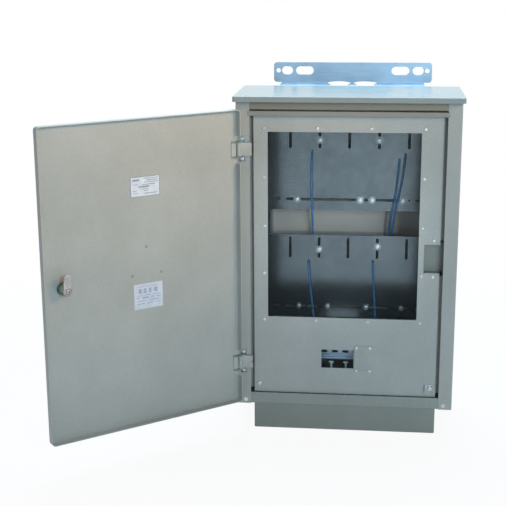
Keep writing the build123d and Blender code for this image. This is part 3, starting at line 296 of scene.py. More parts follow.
def plated(name, dark, light, roughness, stretch):
    """Electroplated or cast zinc: fine clouds, drawn out along the rolling where stretch says so."""
    material, tree, output, place = start(name)
    drawn = add(tree, "ShaderNodeMapping", {"Vector": place, "Scale": stretch})
    lines = add(tree, "ShaderNodeTexNoise", {"Vector": drawn.outputs["Vector"], "Scale": 260.0,
                                             "Detail": 4.0, "Roughness": 0.6})
    cloud = add(tree, "ShaderNodeTexNoise", {"Vector": place, "Scale": 30.0, "Detail": 3.0})
    mixed = add(tree, "ShaderNodeMix", {"Factor": 0.5, "A": lines.outputs["Fac"], "B": cloud.outputs["Fac"]})
    colour = ramp(tree, mixed.outputs["Result"], [(0.38, dark), (0.62, light)])
    dull = add(tree, "ShaderNodeMapRange", {"Value": mixed.outputs["Result"], "From Min": 0.3,
                                            "From Max": 0.7, "To Min": roughness - 0.08,
                                            "To Max": roughness + 0.08})
    bump = add(tree, "ShaderNodeBump", {"Height": lines.outputs["Fac"], "Strength": 0.06,
                                        "Distance": 0.3 * mm})
    surface = add(tree, "ShaderNodeBsdfPrincipled", {"Base Color": colour, "Metallic": 1.0,
                                                     "Roughness": dull.outputs["Result"],
                                                     "Normal": bump.outputs["Normal"]})
    tree.links.new(surface.outputs["BSDF"], output.inputs["Surface"])
    return material


no_lines = (1.0, 1.0, 1.0)
plate_zinc = galvanised("hot_dipped_zinc_sheet", "#65757D", "#7A8B94", 1.0, 0.22, 9.0)
bracket_zinc = plated("blue_passivated_zinc", "#90A9BD", "#9CB5C8", 0.42, (0.08, 1.0, 1.0))
screw_zinc = plated("bright_zinc_plating", "#A6ABAD", "#D0D3D3", 0.36, no_lines)
bolt_zinc = plated("fresh_zinc_plating", "#C2CCD1", "#E4EAED", 0.42, no_lines)
washer_zinc = plated("flat_zinc_washer", "#7A8A95", "#97A7B1", 0.30, no_lines)
lock_zinc = plated("die_cast_zinc", "#8F8F90", "#B4B3B4", 0.38, no_lines)
nut_zinc = plated("weathered_zinc", "#52635A", "#7C8C82", 0.45, no_lines)
hinge_zinc = plated("zinc_plated_hinge", "#62757F", "#82949D", 0.34, (1.0, 1.0, 0.2))
# A brighter zinc used as a painted highlight along the meter plates' folds.
painted_highlight_zinc = plated("painted_highlight_folded_zinc", "#AFC0CA", "#CBD9E0", 0.40, (0.1, 1.0, 1.0))
print("zinc finishes made")

# %% [markdown]
# The window is a clear polycarbonate sheet. It is see-through by its alpha, with a little
# of its own sheen left, which keeps the room behind it lit. Plastics and rubber differ
# mostly in gloss: extruded insulation is shiny, moulded posts are satin and rubber is
# matt. The labels' vinyl takes the same recipe, and so do two darker greys of painted
# shade: one on the door's dimples and one on the hinge brackets' ears.

# %% Clear sheet, plastics and rubber


def plastic(name, dark, light, roughness, grain, alpha=1.0):
    """Moulded or extruded plastic with a fine drift in tone."""
    material, tree, output, place = start(name)
    cloud = add(tree, "ShaderNodeTexNoise", {"Vector": place, "Scale": grain, "Detail": 3.0})
    colour = ramp(tree, cloud.outputs["Fac"], [(0.35, dark), (0.65, light)])
    bump = add(tree, "ShaderNodeBump", {"Height": cloud.outputs["Fac"], "Strength": 0.05,
                                        "Distance": 0.3 * mm})
    surface = add(tree, "ShaderNodeBsdfPrincipled", {"Base Color": colour, "Roughness": roughness,
                                                     "IOR": 1.5, "Alpha": alpha,
                                                     "Normal": bump.outputs["Normal"]})
    tree.links.new(surface.outputs["BSDF"], output.inputs["Surface"])
    return material


clear_sheet = plastic("clear_polycarbonate", "#2A3439", "#333E44", 0.10, 20.0, alpha=0.10)
post_plastic = plastic("pale_moulded_nylon", "#B9C6CE", "#D3DCE1", 0.45, 90.0)
rubber = plastic("black_rubber", "#141617", "#222526", 0.75, 300.0)
lead_blue = plastic("blue_pvc_insulation", "#3474AA", "#5090C4", 0.22, 150.0)
label_paper = plastic("white_vinyl_label", "#D9DAE2", "#E6E7EC", 0.42, 60.0)
label_paper_low = plastic("white_vinyl_label_below", "#CFD0DC", "#DDDEE6", 0.42, 60.0)
label_print = plastic("grey_label_print", "#8D90A0", "#A5A8B4", 0.5, 200.0)
label_print_low = plastic("pale_label_print", "#A7A6BD", "#B8B8CB", 0.5, 200.0)
# This darker grey is painted shade on the door hinge brackets' ears.
hinge_shade = plastic("painted_shade_hinge_ears", "#74756C", "#82837A", 0.5, 200.0)
# This darker grey is painted shade in the door's dimples.
dimple_shade = plastic("weld_dimple_painted_shade", "#8E918B", "#9B9E98", 0.6, 200.0)
print("clear sheet, plastics and rubber made")

# %% [markdown]
# ## The blue leads
# Stiff insulated cores come up through the floor and end bare behind the window. Each is
# a smooth NURBS curve with the route's own corner points, so it bends as one long piece
# of wire would, and passes through its rubber grommet at the bottom.

# %% Leads
lead_radius = 2.5
smooth_steps = 8
lead_routes = {
    "upper_left": [(-88.0, 52.0, 640.0), (-90.0, 54.0, 590.0), (-89.0, 51.0, 535.0), (-87.0, 55.0, 490.0),
                   (-86.0, 80.0, 448.0), (-88.0, 86.0, 395.0), (-93.0, 88.0, 335.0), (-99.0, 86.0, 275.0),
                   (-105.0, 82.0, 215.0), (-110.0, 70.0, 162.0), (-112.0, 53.0, 116.0), (-113.0, 44.5, 80.0),
                   (-112.5, 42.0, 48.0), (-113.0, 42.5, 28.0)],
    "upper_right": [(118.0, 52.0, 622.0), (115.0, 54.0, 575.0), (109.0, 51.0, 525.0), (101.0, 55.0, 485.0),
                    (94.0, 80.0, 445.0), (93.0, 86.0, 395.0), (96.0, 88.0, 335.0), (100.0, 86.0, 275.0),
                    (104.0, 82.0, 215.0), (108.0, 70.0, 162.0), (110.0, 53.0, 116.0), (110.5, 44.5, 80.0),
                    (110.0, 42.0, 48.0), (110.5, 42.5, 28.0)],
    "upper_far_right": [(132.0, 50.0, 634.0), (128.0, 54.0, 588.0), (119.0, 51.0, 535.0),
                        (109.0, 55.0, 487.0), (106.0, 81.0, 445.0), (108.0, 88.0, 395.0),
                        (113.0, 90.0, 335.0), (119.0, 89.0, 275.0), (126.0, 84.0, 215.0),
                        (131.0, 71.0, 162.0), (134.0, 53.0, 116.0), (135.0, 44.5, 80.0),
                        (134.5, 42.0, 48.0), (135.0, 42.5, 28.0)],
    "lower_left": [(-96.0, 50.0, 370.0), (-92.0, 53.0, 325.0), (-86.0, 52.0, 270.0), (-80.0, 54.0, 215.0),
                   (-74.0, 50.0, 162.0), (-70.0, 45.5, 116.0), (-69.0, 43.0, 80.0), (-69.5, 42.0, 48.0),
                   (-69.0, 42.5, 28.0)],
    "lower_right": [(60.0, 50.0, 372.0), (62.0, 53.0, 325.0), (66.0, 52.0, 270.0), (69.0, 54.0, 215.0),
                    (70.0, 50.0, 162.0), (68.0, 45.5, 116.0), (66.0, 43.0, 80.0), (66.5, 42.0, 48.0),
                    (66.0, 42.5, 28.0)],
}
for name, route in lead_routes.items():
    curve = bpy.data.curves.new("lead_" + name + "_line", "CURVE")
    curve.dimensions = "3D"
    line = curve.splines.new("NURBS")
    upward = [tuple(value * mm for value in point) for point in reversed(route)]
    line.points.add(len(upward) - 1)
    for point, place in zip(line.points, upward):
        point.co = (*place, 1.0)
    line.order_u = 3
    line.use_endpoint_u = True
    line.resolution_u = smooth_steps
    curve.bevel_depth = lead_radius * mm
    curve.bevel_resolution = 4
    curve.use_fill_caps = True
    lead = bpy.data.objects.new("blue_lead_" + name, curve)
    bpy.context.scene.collection.objects.link(lead)
    curve.materials.append(lead_blue)
    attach(lead, "cabinet")
    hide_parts("lead_" + name)
print("leads", len(lead_routes))

# %% [markdown]
# ## Screws
# The cabinet is held together by pan head screws with a cross recess. One screw of each
# size is modelled: a cylinder whose rim is bevelled into a dome, whose foot is inset and
# drawn out into the shank, and whose recess is cut by two tapered bars. Copies of it then
# go wherever the CAD has a screw, each turned by chance as a hand would leave it.

# %% Model one screw
dome_share = 0.62    # how much of the head's height its dome takes
dome_fullness = 0.62
shank_end_share = 0.82    # the shank narrows to this at its end
recess_length_share = 1.15    # of the head's radius
recess_width_share = 0.26
recess_depth_share = 1.1    # of the head's height, half of it in the head


def make_screw(name, head_radius, head_height, shank_radius, shank_length):
    """Pan head screw that stands on z = 0, with its head up."""
    bpy.ops.object.select_all(action="DESELECT")
    bpy.ops.mesh.primitive_cylinder_add(vertices=28, radius=head_radius * mm, depth=head_height * mm,
                                        location=(0, 0, head_height * mm / 2))
    screw = bpy.context.object
    apply_place(screw)
    top = head_height * mm
    pick(screw, lambda a, b: a.z > top * 0.99 and b.z > top * 0.99, "EDGE")
    bpy.ops.mesh.bevel(offset=head_height * dome_share * mm, segments=5, profile=dome_fullness)
    done()
    pick(screw, lambda centre, normal: normal.z < -0.9)
    bpy.ops.mesh.inset(thickness=(head_radius - shank_radius) * mm)
    bpy.ops.mesh.extrude_region_move(TRANSFORM_OT_translate={"value": (0, 0, -shank_length * mm)})
    bpy.ops.transform.resize(value=(shank_end_share, shank_end_share, 1.0))
    done()
    for turn in (0, 90):
        bar = make_recess_bar(head_radius, head_height, turn)
        modify(screw, "BOOLEAN", object=bar, operation="DIFFERENCE", solver="EXACT")
        discard(bar)
    smooth(screw)
    screw.name = name
    return screw


def make_recess_bar(head_radius, head_height, turn):
    """One tapered bar of a cross recess."""
    bpy.ops.object.select_all(action="DESELECT")
    bpy.ops.mesh.primitive_cube_add(size=1.0, location=(0, 0, head_height * mm))
    bar = bpy.context.object
    bar.scale = (head_radius * recess_length_share * mm, head_radius * recess_width_share * mm,
                 head_height * recess_depth_share * mm)
    apply_place(bar)
    pick(bar, lambda centre, normal: normal.z < -0.9)
    bpy.ops.transform.resize(value=(0.6, 0.7, 1.0))
    done()
    bar.rotation_euler = (0, 0, math.radians(turn))
    apply_place(bar)
    return bar

# %% Find where the CAD has its screws


def solid_boxes(node):
    """Low and high corner of each separate solid in a CAD node."""
    twin = copy_of(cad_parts[node], "measuring_copy")
    twin.parent = None
    edit(twin, "VERT")
    bpy.ops.mesh.select_all(action="SELECT")
    bpy.ops.mesh.remove_doubles(threshold=0.00001)
    bpy.ops.mesh.separate(type="LOOSE")
    done()
    parts = list(bpy.context.selected_objects)
    if twin not in parts:
        parts.append(twin)
    boxes = []
    for part in parts:
        points = [vertex.co for vertex in part.data.vertices]
        low = Vector([min(point[i] for point in points) for i in range(3)])
        high = Vector([max(point[i] for point in points) for i in range(3)])
        boxes.append((low, high))
    discard(*parts)
    return sorted(boxes, key=lambda box: (round(box[0].z, 4), round(box[0].x, 4)))


def set_copies(name, template, places, direction, node, body, material):
    """Copy a template to each place, its head along the direction, and ride the group on a body."""
    upright = Vector(direction).to_track_quat("Z", "Y").to_matrix().to_4x4()
    copies = []
    for place in places:
        twin = copy_of(template, name + "_copy")
        turn = Matrix.Rotation(chance.uniform(0, math.pi), 4, "Z")
        twin.matrix_world = Matrix.Translation(place) @ upright @ turn
        copies.append(twin)
    group = join(name, copies)
    group.data.materials.clear()
    group.data.materials.append(material)
    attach(group, body)
    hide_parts(node)
    print(name, len(places), "copies,", len(group.data.polygons), "faces")


def seats_facing_front(node, head_height):
    """Where screws that face the front stand on their sheet."""
    return [Vector(((low.x + high.x) / 2, low.y + head_height * mm, (low.z + high.z) / 2))
            for low, high in solid_boxes(node)]


def seats_facing_up(node, head_height):
    """Where screws that stand upright sit on their sheet."""
    return [Vector(((low.x + high.x) / 2, (low.y + high.y) / 2, high.z - head_height * mm))
            for low, high in solid_boxes(node)]

# %% Place the small, the panel and the meter screws
small_head = 2.2
panel_head = 3.0
meter_head = 4.0
small_screw = make_screw("small_screw", 3.6, small_head, 1.9, 6.0)
panel_screw = make_screw("panel_screw", 5.0, panel_head, 2.5, 7.0)
meter_bolt = make_screw("meter_bolt", 5.5, meter_head, 3.0, 11.1)
to_front = (0, -1, 0)
to_back = (0, 1, 0)
upward_axis = (0, 0, 1)
for node in ("window_screws", "blank_screws", "pocket_screws", "hinge_screws"):
    set_copies("cross_" + node, small_screw, seats_facing_front(node, small_head), to_front, node,
               "cabinet", screw_zinc)
for node in ("panel_screws", "plate_screws", "din_rail_screws"):
    set_copies("cross_" + node, panel_screw, seats_facing_front(node, panel_head), to_front, node,
               "cabinet", screw_zinc)
for node in ("upper_meter_bolts", "lower_meter_bolts"):
    set_copies("cross_" + node, meter_bolt, seats_facing_front(node, meter_head), to_front, node,
               "cabinet", bolt_zinc)
set_copies("cross_gland_screws", small_screw, seats_facing_up("gland_screws", small_head), upward_axis,
           "gland_screws", "cabinet", screw_zinc)

# %% [markdown]
# The sill screws at the body's lower corners are countersunk, so that the door shuts over
# them. The head starts as a cone on its narrow end, whose foot is drawn out into the shank.

# %% Countersunk corner screws
flat_radius = 4.6
flat_shank = 2.5
flat_depth = 1.5
flat_shank_length = 3.0
flat_recess = 1.1
bpy.ops.object.select_all(action="DESELECT")
bpy.ops.mesh.primitive_cone_add(vertices=28, radius1=flat_shank * mm, radius2=flat_radius * mm,
                                depth=flat_depth * mm, location=(0, 0, -flat_depth / 2 * mm))
flat_screw = bpy.context.object
apply_place(flat_screw)
pick(flat_screw, lambda centre, normal: normal.z < -0.9)
bpy.ops.mesh.extrude_region_move(TRANSFORM_OT_translate={"value": (0, 0, -flat_shank_length * mm)})
done()
for turn in (0, 90):
    bar = make_recess_bar(flat_radius, flat_recess, turn)
    bar.location = (0, 0, -flat_recess * mm)
    apply_place(bar)
    modify(flat_screw, "BOOLEAN", object=bar, operation="DIFFERENCE", solver="EXACT")
    discard(bar)
smooth(flat_screw)
set_copies("countersunk_corner_screws", flat_screw, seats_facing_front("corner_screws", 0.0), to_front,
           "corner_screws", "cabinet", screw_zinc)

# %% [markdown]
# ## Hexagon bolts
# A real hexagon head has its corners turned off, which leaves a round face on top. A
# six-sided cylinder is cut by a slightly wider, bevelled round one to get it.

# %% Bracket and plinth bolts
flat_share = 0.866    # the flats' distance from the axis as a share of the corners'
round_share = 1.01    # the round cutter's radius as a share of the corners'
rim_share = 0.28    # how much of the height the turned rim takes


def make_hex_head(name, corner_radius, height, shank_radius, shank_length):
    """Hexagon bolt standing on z = 0, head up."""
    bpy.ops.object.select_all(action="DESELECT")
    bpy.ops.mesh.primitive_cylinder_add(vertices=6, radius=corner_radius * mm, depth=height * mm,
                                        location=(0, 0, height * mm / 2))
    bolt = bpy.context.object
    apply_place(bolt)
    bpy.ops.object.select_all(action="DESELECT")
    bpy.ops.mesh.primitive_cylinder_add(vertices=36, radius=corner_radius * round_share * mm,
                                        depth=2 * height * mm, location=(0, 0, 0))
    round_bar = bpy.context.object
    apply_place(round_bar)
    top = height * mm
    pick(round_bar, lambda a, b: a.z > top * 0.99 and b.z > top * 0.99, "EDGE")
    bpy.ops.mesh.bevel(offset=height * rim_share * mm, segments=2)
    done()
    modify(bolt, "BOOLEAN", object=round_bar, operation="INTERSECT", solver="EXACT")
    discard(round_bar)
    pick(bolt, lambda centre, normal: normal.z < -0.9)
    bpy.ops.mesh.inset(thickness=(corner_radius * flat_share - shank_radius) * mm)
    bpy.ops.mesh.extrude_region_move(TRANSFORM_OT_translate={"value": (0, 0, -shank_length * mm)})
    done()
    smooth(bolt, 25)
    bolt.name = name
    return bolt


hex_height = 5.0
hex_head = make_hex_head("hex_head", 7.0, hex_height, 4.0, 12.5)
bolt_seats = [Vector(((low.x + high.x) / 2, high.y - hex_height * mm, (low.z + high.z) / 2))
              for low, high in solid_boxes("bracket_bolts")]
set_copies("hexagon_bracket_bolts", hex_head, bolt_seats, to_back, "bracket_bolts", "cabinet", screw_zinc)
set_copies("hexagon_plinth_bolts", hex_head, seats_facing_up("plinth_bolts", hex_height), upward_axis,
           "plinth_bolts", "cabinet", screw_zinc)

# %% [markdown]
# ## The door's own pieces
# They are easiest to model on the closed door, whose inner face lies square to the axes,
# and are then swung open about the hinge axis by the same turn as the CAD door.

# %% Open the door
hinge_axis = Vector((-241.5 * mm, -119.0 * mm, 0))
open_turn = -141.0
door_inner = -123.5
swing = (Matrix.Translation(hinge_axis) @ Matrix.Rotation(math.radians(open_turn), 4, "Z")
         @ Matrix.Translation(-hinge_axis))


def swing_open(piece):
    """Turn a finished piece of the closed door to where the open door stands."""
    piece.data.transform(swing)


def dress(piece, name, body, material, slot, *nodes):
    """Name a finished piece, give it its finish and ride it on a body."""
    piece.name = name
    piece.data.materials.clear()
    piece.data.materials.append(material)
    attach(piece, body)
    if nodes:
        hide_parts(*nodes)
    print(name, len(piece.data.polygons), "faces")

# %% [markdown]
# ## The lock
# A quarter-turn lock: a threaded barrel through the door, a round nut with notches, and a
# flat lever on the core. The barrel and the nut are turned from a profile: one vertex is
# drawn out along the outline and spun round the axis.

# %% Turn a profile


def turned(name, profile, steps):
    """Spin a closed outline of radius and height pairs, in millimetres, round the Z axis."""
    bpy.ops.object.select_all(action="DESELECT")
    bpy.ops.mesh.primitive_plane_add(size=1.0, location=(0, 0, 0))
    piece = bpy.context.object
    edit(piece, "VERT")
    bpy.ops.mesh.select_all(action="SELECT")
    bpy.ops.mesh.merge(type="CENTER")
    first = Vector((profile[0][0] * mm, 0, profile[0][1] * mm))
    bpy.ops.transform.translate(value=first)
    before = first
    for radius, height in list(profile[1:]) + [profile[0]]:
        here = Vector((radius * mm, 0, height * mm))
        bpy.ops.mesh.extrude_vertices_move(TRANSFORM_OT_translate={"value": here - before})
        before = here
    bpy.ops.mesh.select_all(action="SELECT")
    bpy.ops.mesh.remove_doubles(threshold=0.000002)
    bpy.ops.mesh.select_all(action="SELECT")
    bpy.ops.mesh.spin(steps=steps, angle=math.tau, center=(0, 0, 0), axis=(0, 0, 1))
    bpy.ops.mesh.select_all(action="SELECT")
    bpy.ops.mesh.remove_doubles(threshold=0.000002)
    bpy.ops.mesh.normals_make_consistent(inside=False)
    done()
    piece.name = name
    return piece


lock_x = 192.0
lock_z = 416.0


def set_in_door(piece, depth):
    """Stand a turned piece on the closed door, its axis into the cabinet, then swing it open."""
    piece.matrix_world = (Matrix.Translation((lock_x * mm, depth * mm, lock_z * mm))
                          @ Matrix.Rotation(math.radians(-90), 4, "X"))
    apply_place(piece)
    swing_open(piece)


def lay_on_door(piece, x, depth, z):
    """Lay a flat piece on the closed door, its face into the cabinet, then swing it open."""
    piece.matrix_world = (Matrix.Translation((x * mm, depth * mm, z * mm))
                          @ Matrix.Rotation(math.radians(90), 4, "X")
                          @ Matrix.Rotation(math.radians(180), 4, "Y"))
    apply_place(piece)
    swing_open(piece)

# %% Barrel
door_sheet = 1.5
barrel_length = 27.5
thread_pitch = 1.5
thread_root = 10.25
thread_crest = 11.0
barrel_profile = [(7.55, barrel_length), (7.55, -3.0), (13.6, -3.0), (14.6, -2.6), (15.0, -1.8),
                  (15.0, 0.0), (10.7, 0.0)]
level = thread_pitch
while level < barrel_length - thread_pitch:
    barrel_profile += [(thread_root, level), (thread_crest, level + thread_pitch / 2)]
    level += thread_pitch
barrel_profile += [(thread_root, 26.8), (9.6, barrel_length)]
barrel = turned("barrel", barrel_profile, 40)
smooth(barrel, 28)
set_in_door(barrel, door_inner - door_sheet)
dress(barrel, "threaded_lock_barrel", "door", nut_zinc, "lock_zinc", "lock_barrel")

# %% Notched nut
nut_steps = 32
nut_step = 360 / nut_steps
notch_depth = 1.1
nut_profile = [(11.05, 0.6), (11.05, 6.4), (11.6, 7.0), (12.9, 7.0), (13.5, 6.3), (13.5, 0.7),
               (12.9, 0.0), (11.6, 0.0)]


def in_notch(centre, normal):
    """True for the nut's outer faces, two in every four, that are pressed in as notches."""
    outer = math.hypot(centre.x, centre.y) > 13.3 * mm and abs(normal.z) < 0.1
    around = math.degrees(math.atan2(centre.y, centre.x)) % 360
    return outer and int(around / nut_step) % 4 < 2


nut = turned("nut", nut_profile, nut_steps)
pick(nut, in_notch)
bpy.ops.mesh.extrude_region_shrink_fatten(TRANSFORM_OT_shrink_fatten={"value": -notch_depth * mm})
done()
smooth(nut, 25)
set_in_door(nut, door_inner)
dress(nut, "notched_lock_nut", "door", nut_zinc, "lock_zinc", "lock_nut")

# %% [markdown]
# The lever is a flat bar that tapers to a rounded tip. A square hole seats it on the core,
# and a raised ring stands round the head of its screw.

# %% Lever and its screw
cam_width = 22.4
cam_reach = 36.0
cam_tail = 8.0
cam_thickness = 3.0
cam_tip_share = 0.78
cam_corner = 7.6
cam_edge = 0.6
square_side = 10.0
cam_seat = 27.0    # how far the lever stands off the door's inner face
bpy.ops.object.select_all(action="DESELECT")
bpy.ops.mesh.primitive_cube_add(size=1.0)
lever = bpy.context.object
lever.scale = (cam_width * mm, (cam_reach + cam_tail) * mm, cam_thickness * mm)
apply_place(lever)
pick(lever, lambda centre, normal: normal.y > 0.9)
bpy.ops.transform.resize(value=(cam_tip_share, 1.0, 1.0))
done()
pick(lever, lambda a, b: abs(a.z - b.z) > 2.5 * mm, "EDGE")
bpy.ops.mesh.bevel(offset=cam_corner * mm, segments=8)
done()
half_thick = cam_thickness / 2 * mm
pick(lever, lambda a, b: abs(a.z - b.z) < 0.01 * mm and abs(abs(a.z) - half_thick) < 0.01 * mm, "EDGE")
bpy.ops.mesh.bevel(offset=cam_edge * mm, segments=3)
done()
lever.location = (0, (cam_reach - cam_tail) / 2 * mm, half_thick)
apply_place(lever)
bpy.ops.object.select_all(action="DESELECT")
bpy.ops.mesh.primitive_cube_add(size=1.0)
square = bpy.context.object
square.scale = (square_side * mm, square_side * mm, 4 * cam_thickness * mm)
apply_place(square)
modify(lever, "BOOLEAN", object=square, operation="DIFFERENCE", solver="EXACT")
discard(square)
smooth(lever)
ring_profile = [(6.4, 2.9), (6.4, 4.2), (7.0, 4.7), (9.0, 4.7), (9.8, 3.9), (9.8, 2.9)]
boss = turned("boss", ring_profile, 40)
smooth(boss, 30)
lever = join("lever", [boss, lever])
lay_on_door(lever, lock_x, door_inner + cam_seat, lock_z)
dress(lever, "lock_lever", "cam", lock_zinc, "lock_zinc", "lock_cam")
low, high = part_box("lock_cam")
lowest = min(vertex.co.z for vertex in lever.data.vertices)
print("lever lowest", round(lowest, 4), "CAD lever", round(low[2], 4))
cam_screw = make_screw("cam_screw_form", 6.0, 3.0, 2.5, 9.5)
set_in_door(cam_screw, door_inner + cam_seat + cam_thickness)
dress(cam_screw, "lever_screw", "cam", lock_zinc, "zinc_fasteners", "cam_screw")

# %% [markdown]
# ## Labels and weld marks on the door
# Two vinyl labels stick to the door's inner face, with plain bars and blocks of grey on
# them: a sheet is cut along straight lines, and the faces between take a second colour.
# Three shallow round marks are where something was fixed; their darker grey is painted shade in the dimples.

# %% Labels
label_thickness = 0.25
label_gap = 0.02    # keeps the label's back off the paint


def make_label(name, left, right, bottom, top, bars, paper, print_material):
    """Thin label on the closed door. Bars are left, right, bottom, top as shares of its size."""
    bpy.ops.object.select_all(action="DESELECT")
    bpy.ops.mesh.primitive_plane_add(size=1.0)
    label = bpy.context.object
    width = (right - left) * mm
    height = (top - bottom) * mm
    label.scale = (width, height, 1.0)
    apply_place(label)
    across = sorted({share for bar in bars for share in bar[:2]})
    up = sorted({share for bar in bars for share in bar[2:]})
    for share, normal in [(s, (1, 0, 0)) for s in across] + [(s, (0, 1, 0)) for s in up]:
        edit(label)
        bpy.ops.mesh.select_all(action="SELECT")
        cut_at = Vector(((share - 0.5) * width, (share - 0.5) * height, 0))
        bpy.ops.mesh.bisect(plane_co=cut_at, plane_no=normal)
        done()
    label.data.materials.append(paper)
    label.data.materials.append(print_material)
    for face in label.data.polygons:
        x = face.center.x / width + 0.5
        y = face.center.y / height + 0.5
        inside = any(bar[0] < x < bar[1] and bar[2] < y < bar[3] for bar in bars)
        face.material_index = 1 if inside else 0
    modify(label, "SOLIDIFY", thickness=label_thickness * mm, offset=1.0)
    lay_on_door(label, (left + right) / 2, door_inner + label_gap, (bottom + top) / 2)
    label.name = name
    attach(label, "door")
    print(name, len(label.data.polygons), "faces")


upper_bars = [(0.0, 1.0, 0.0, 0.04), (0.0, 1.0, 0.96, 1.0), (0.0, 0.028, 0.0, 1.0), (0.972, 1.0, 0.0, 1.0),
              (0.07, 0.30, 0.78, 0.87), (0.44, 0.94, 0.87, 0.90), (0.54, 0.90, 0.77, 0.81),
              (0.46, 0.94, 0.68, 0.71), (0.40, 0.84, 0.57, 0.61), (0.27, 0.64, 0.45, 0.53),
              (0.34, 0.60, 0.36, 0.39), (0.08, 0.24, 0.60, 0.63), (0.08, 0.22, 0.30, 0.33),
              (0.46, 0.62, 0.28, 0.31), (0.10, 0.26, 0.18, 0.21), (0.46, 0.90, 0.14, 0.18)]
lower_bars = [(0.14, 0.84, 0.88, 0.90), (0.16, 0.27, 0.62, 0.80), (0.33, 0.43, 0.62, 0.80),
              (0.51, 0.60, 0.62, 0.80), (0.70, 0.82, 0.62, 0.80), (0.08, 0.30, 0.52, 0.55),
              (0.36, 0.58, 0.52, 0.55), (0.64, 0.90, 0.52, 0.55), (0.08, 0.20, 0.42, 0.47),
              (0.28, 0.50, 0.40, 0.47), (0.58, 0.70, 0.42, 0.47), (0.76, 0.92, 0.42, 0.46),
              (0.10, 0.44, 0.30, 0.34), (0.52, 0.88, 0.30, 0.34), (0.10, 0.36, 0.19, 0.23),
              (0.42, 0.66, 0.20, 0.23), (0.72, 0.90, 0.20, 0.23)]
make_label("upper_label", -43.2, 28.0, 589.2, 633.8, upper_bars, label_paper, label_print)
make_label("lower_label", -43.2, 26.6, 339.6, 396.6, lower_bars, label_paper_low, label_print_low)

# %% Weld marks
mark_places = [(-6.6, 478.5), (29.4, 416.8), (-41.7, 417.4)]
mark_profile = [(0.0, 0.0), (3.6, 0.0), (3.2, 0.22), (2.2, 0.30), (1.0, 0.14), (0.0, 0.10)]
marks = []
for x, z in mark_places:
    mark = turned("mark", mark_profile, 24)
    mark.matrix_world = (Matrix.Translation((x * mm, door_inner * mm, z * mm))
                         @ Matrix.Rotation(math.radians(-90), 4, "X"))
    apply_place(mark)
    marks.append(mark)
weld_marks = join("door_weld_marks", marks)
swing_open(weld_marks)
smooth(weld_marks)
# The marks take a darker grey: painted shade of the dimples.
dress(weld_marks, "door_weld_marks", "door", dimple_shade, "painted_steel")

# %% [markdown]
# ## Softened edges
# Sheared and sawn edges are never knife sharp. A copy of a CAD piece is merged into one
# skin, its flat triangles dissolve into whole faces, and a narrow bevel catches the light
# along each edge. Only pieces that show their edges need it.

# %% Soften the pieces whose edges show


def merged_copy(node):
    """A CAD node's copy as one skin with whole flat faces."""
    piece = copy_of(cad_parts[node], "soft_" + node)
    piece.parent = None
    for key in list(piece.keys()):
        del piece[key]
    edit(piece, "VERT")
    bpy.ops.mesh.select_all(action="SELECT")
    bpy.ops.mesh.remove_doubles(threshold=0.000005)
    bpy.ops.mesh.customdata_custom_splitnormals_clear()
    bpy.ops.mesh.dissolve_limited(angle_limit=math.radians(0.5))
    bpy.ops.mesh.faces_shade_flat()
    done()
    return piece


def round_edges(piece, width):
    """Narrow rounded edges all over a merged piece."""
    modify(piece, "BEVEL", width=width * mm, segments=2, limit_method="ANGLE", angle_limit=math.radians(40),
           harden_normals=False)


def soften(node, body, material, slot, width):
    """Replace a CAD node by a copy of itself with narrow rounded edges."""
    piece = merged_copy(node)
    round_edges(piece, width)
    smooth(piece)
    dress(piece, "soft_" + node, body, material, slot, node)
    return piece


def second_finish(piece, material, test):
    """Give the faces that pass a test a second material."""
    piece.data.materials.append(material)
    for face in piece.data.polygons:
        face.material_index = 1 if test(face.center, face.normal) else 0


leaf_plate_front = -106.6    # the leaf's faces behind this are its zinc plate
ear_front = -121.3    # with the door shut, the bracket's faces behind this are its ears
for node in ("upper_hinge_leaf", "lower_hinge_leaf"):
    leaf = soften(node, "cabinet", paint, "painted_steel", 0.4)
    second_finish(leaf, hinge_zinc, lambda centre, normal: centre.y > leaf_plate_front * mm)
swing_shut = swing.inverted()
# The brackets' ears take a darker grey: painted shade round the hinge.
for node in ("upper_hinge_bracket", "lower_hinge_bracket"):
    bracket = soften(node, "door", paint, "painted_steel", 0.1)
    second_finish(bracket, hinge_shade, lambda centre, normal: (swing_shut @ centre).y > ear_front * mm)
for node in ("upper_hinge_pin", "lower_hinge_pin"):
    soften(node, "door", hinge_zinc, "zinc_fasteners", 0.35)
soften("blank_plate", "cabinet", paint, "painted_steel", 0.3)
soften("seal_lug", "cabinet", washer_zinc, "zinc_fasteners", 0.2)

# %% [markdown]
# The meter plates are folded back at their top and bottom edges. The rounded top fold and
# the lower lips of the slots face up and forward, and these faces take a brighter zinc: a
# painted highlight for the fine line of light that runs along them. Their faces stay flat
# shaded, because smooth shading would bend the light on such a wide flat sheet between the slots.

# %% Fold line of the meter plates
fold = 1.2
for node in ("upper_meter_plate", "lower_meter_plate"):
    low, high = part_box(node)
    plate = merged_copy(node)
    pick(plate, lambda a, b: min(a.z, b.z) > high[2] - 0.1 * mm and max(a.y, b.y) < low[1] + 0.1 * mm, "EDGE")
    bpy.ops.mesh.bevel(offset=fold * mm, segments=3)
    done()
    round_edges(plate, 0.5)
    dress(plate, "folded_" + node, "cabinet", plate_zinc, "galvanised_steel", node)
    # Faces that look up and forward take the brighter zinc: a painted highlight.
    second_finish(plate, painted_highlight_zinc, lambda centre, normal: normal.z > 0.3 and normal.y < -0.3)

# %% [markdown]
# The two round openings in a bracket's foot run a little way up its upright plate, so that
# they show as ovals from the front. A flattened cylinder cuts each of these shallow arches.

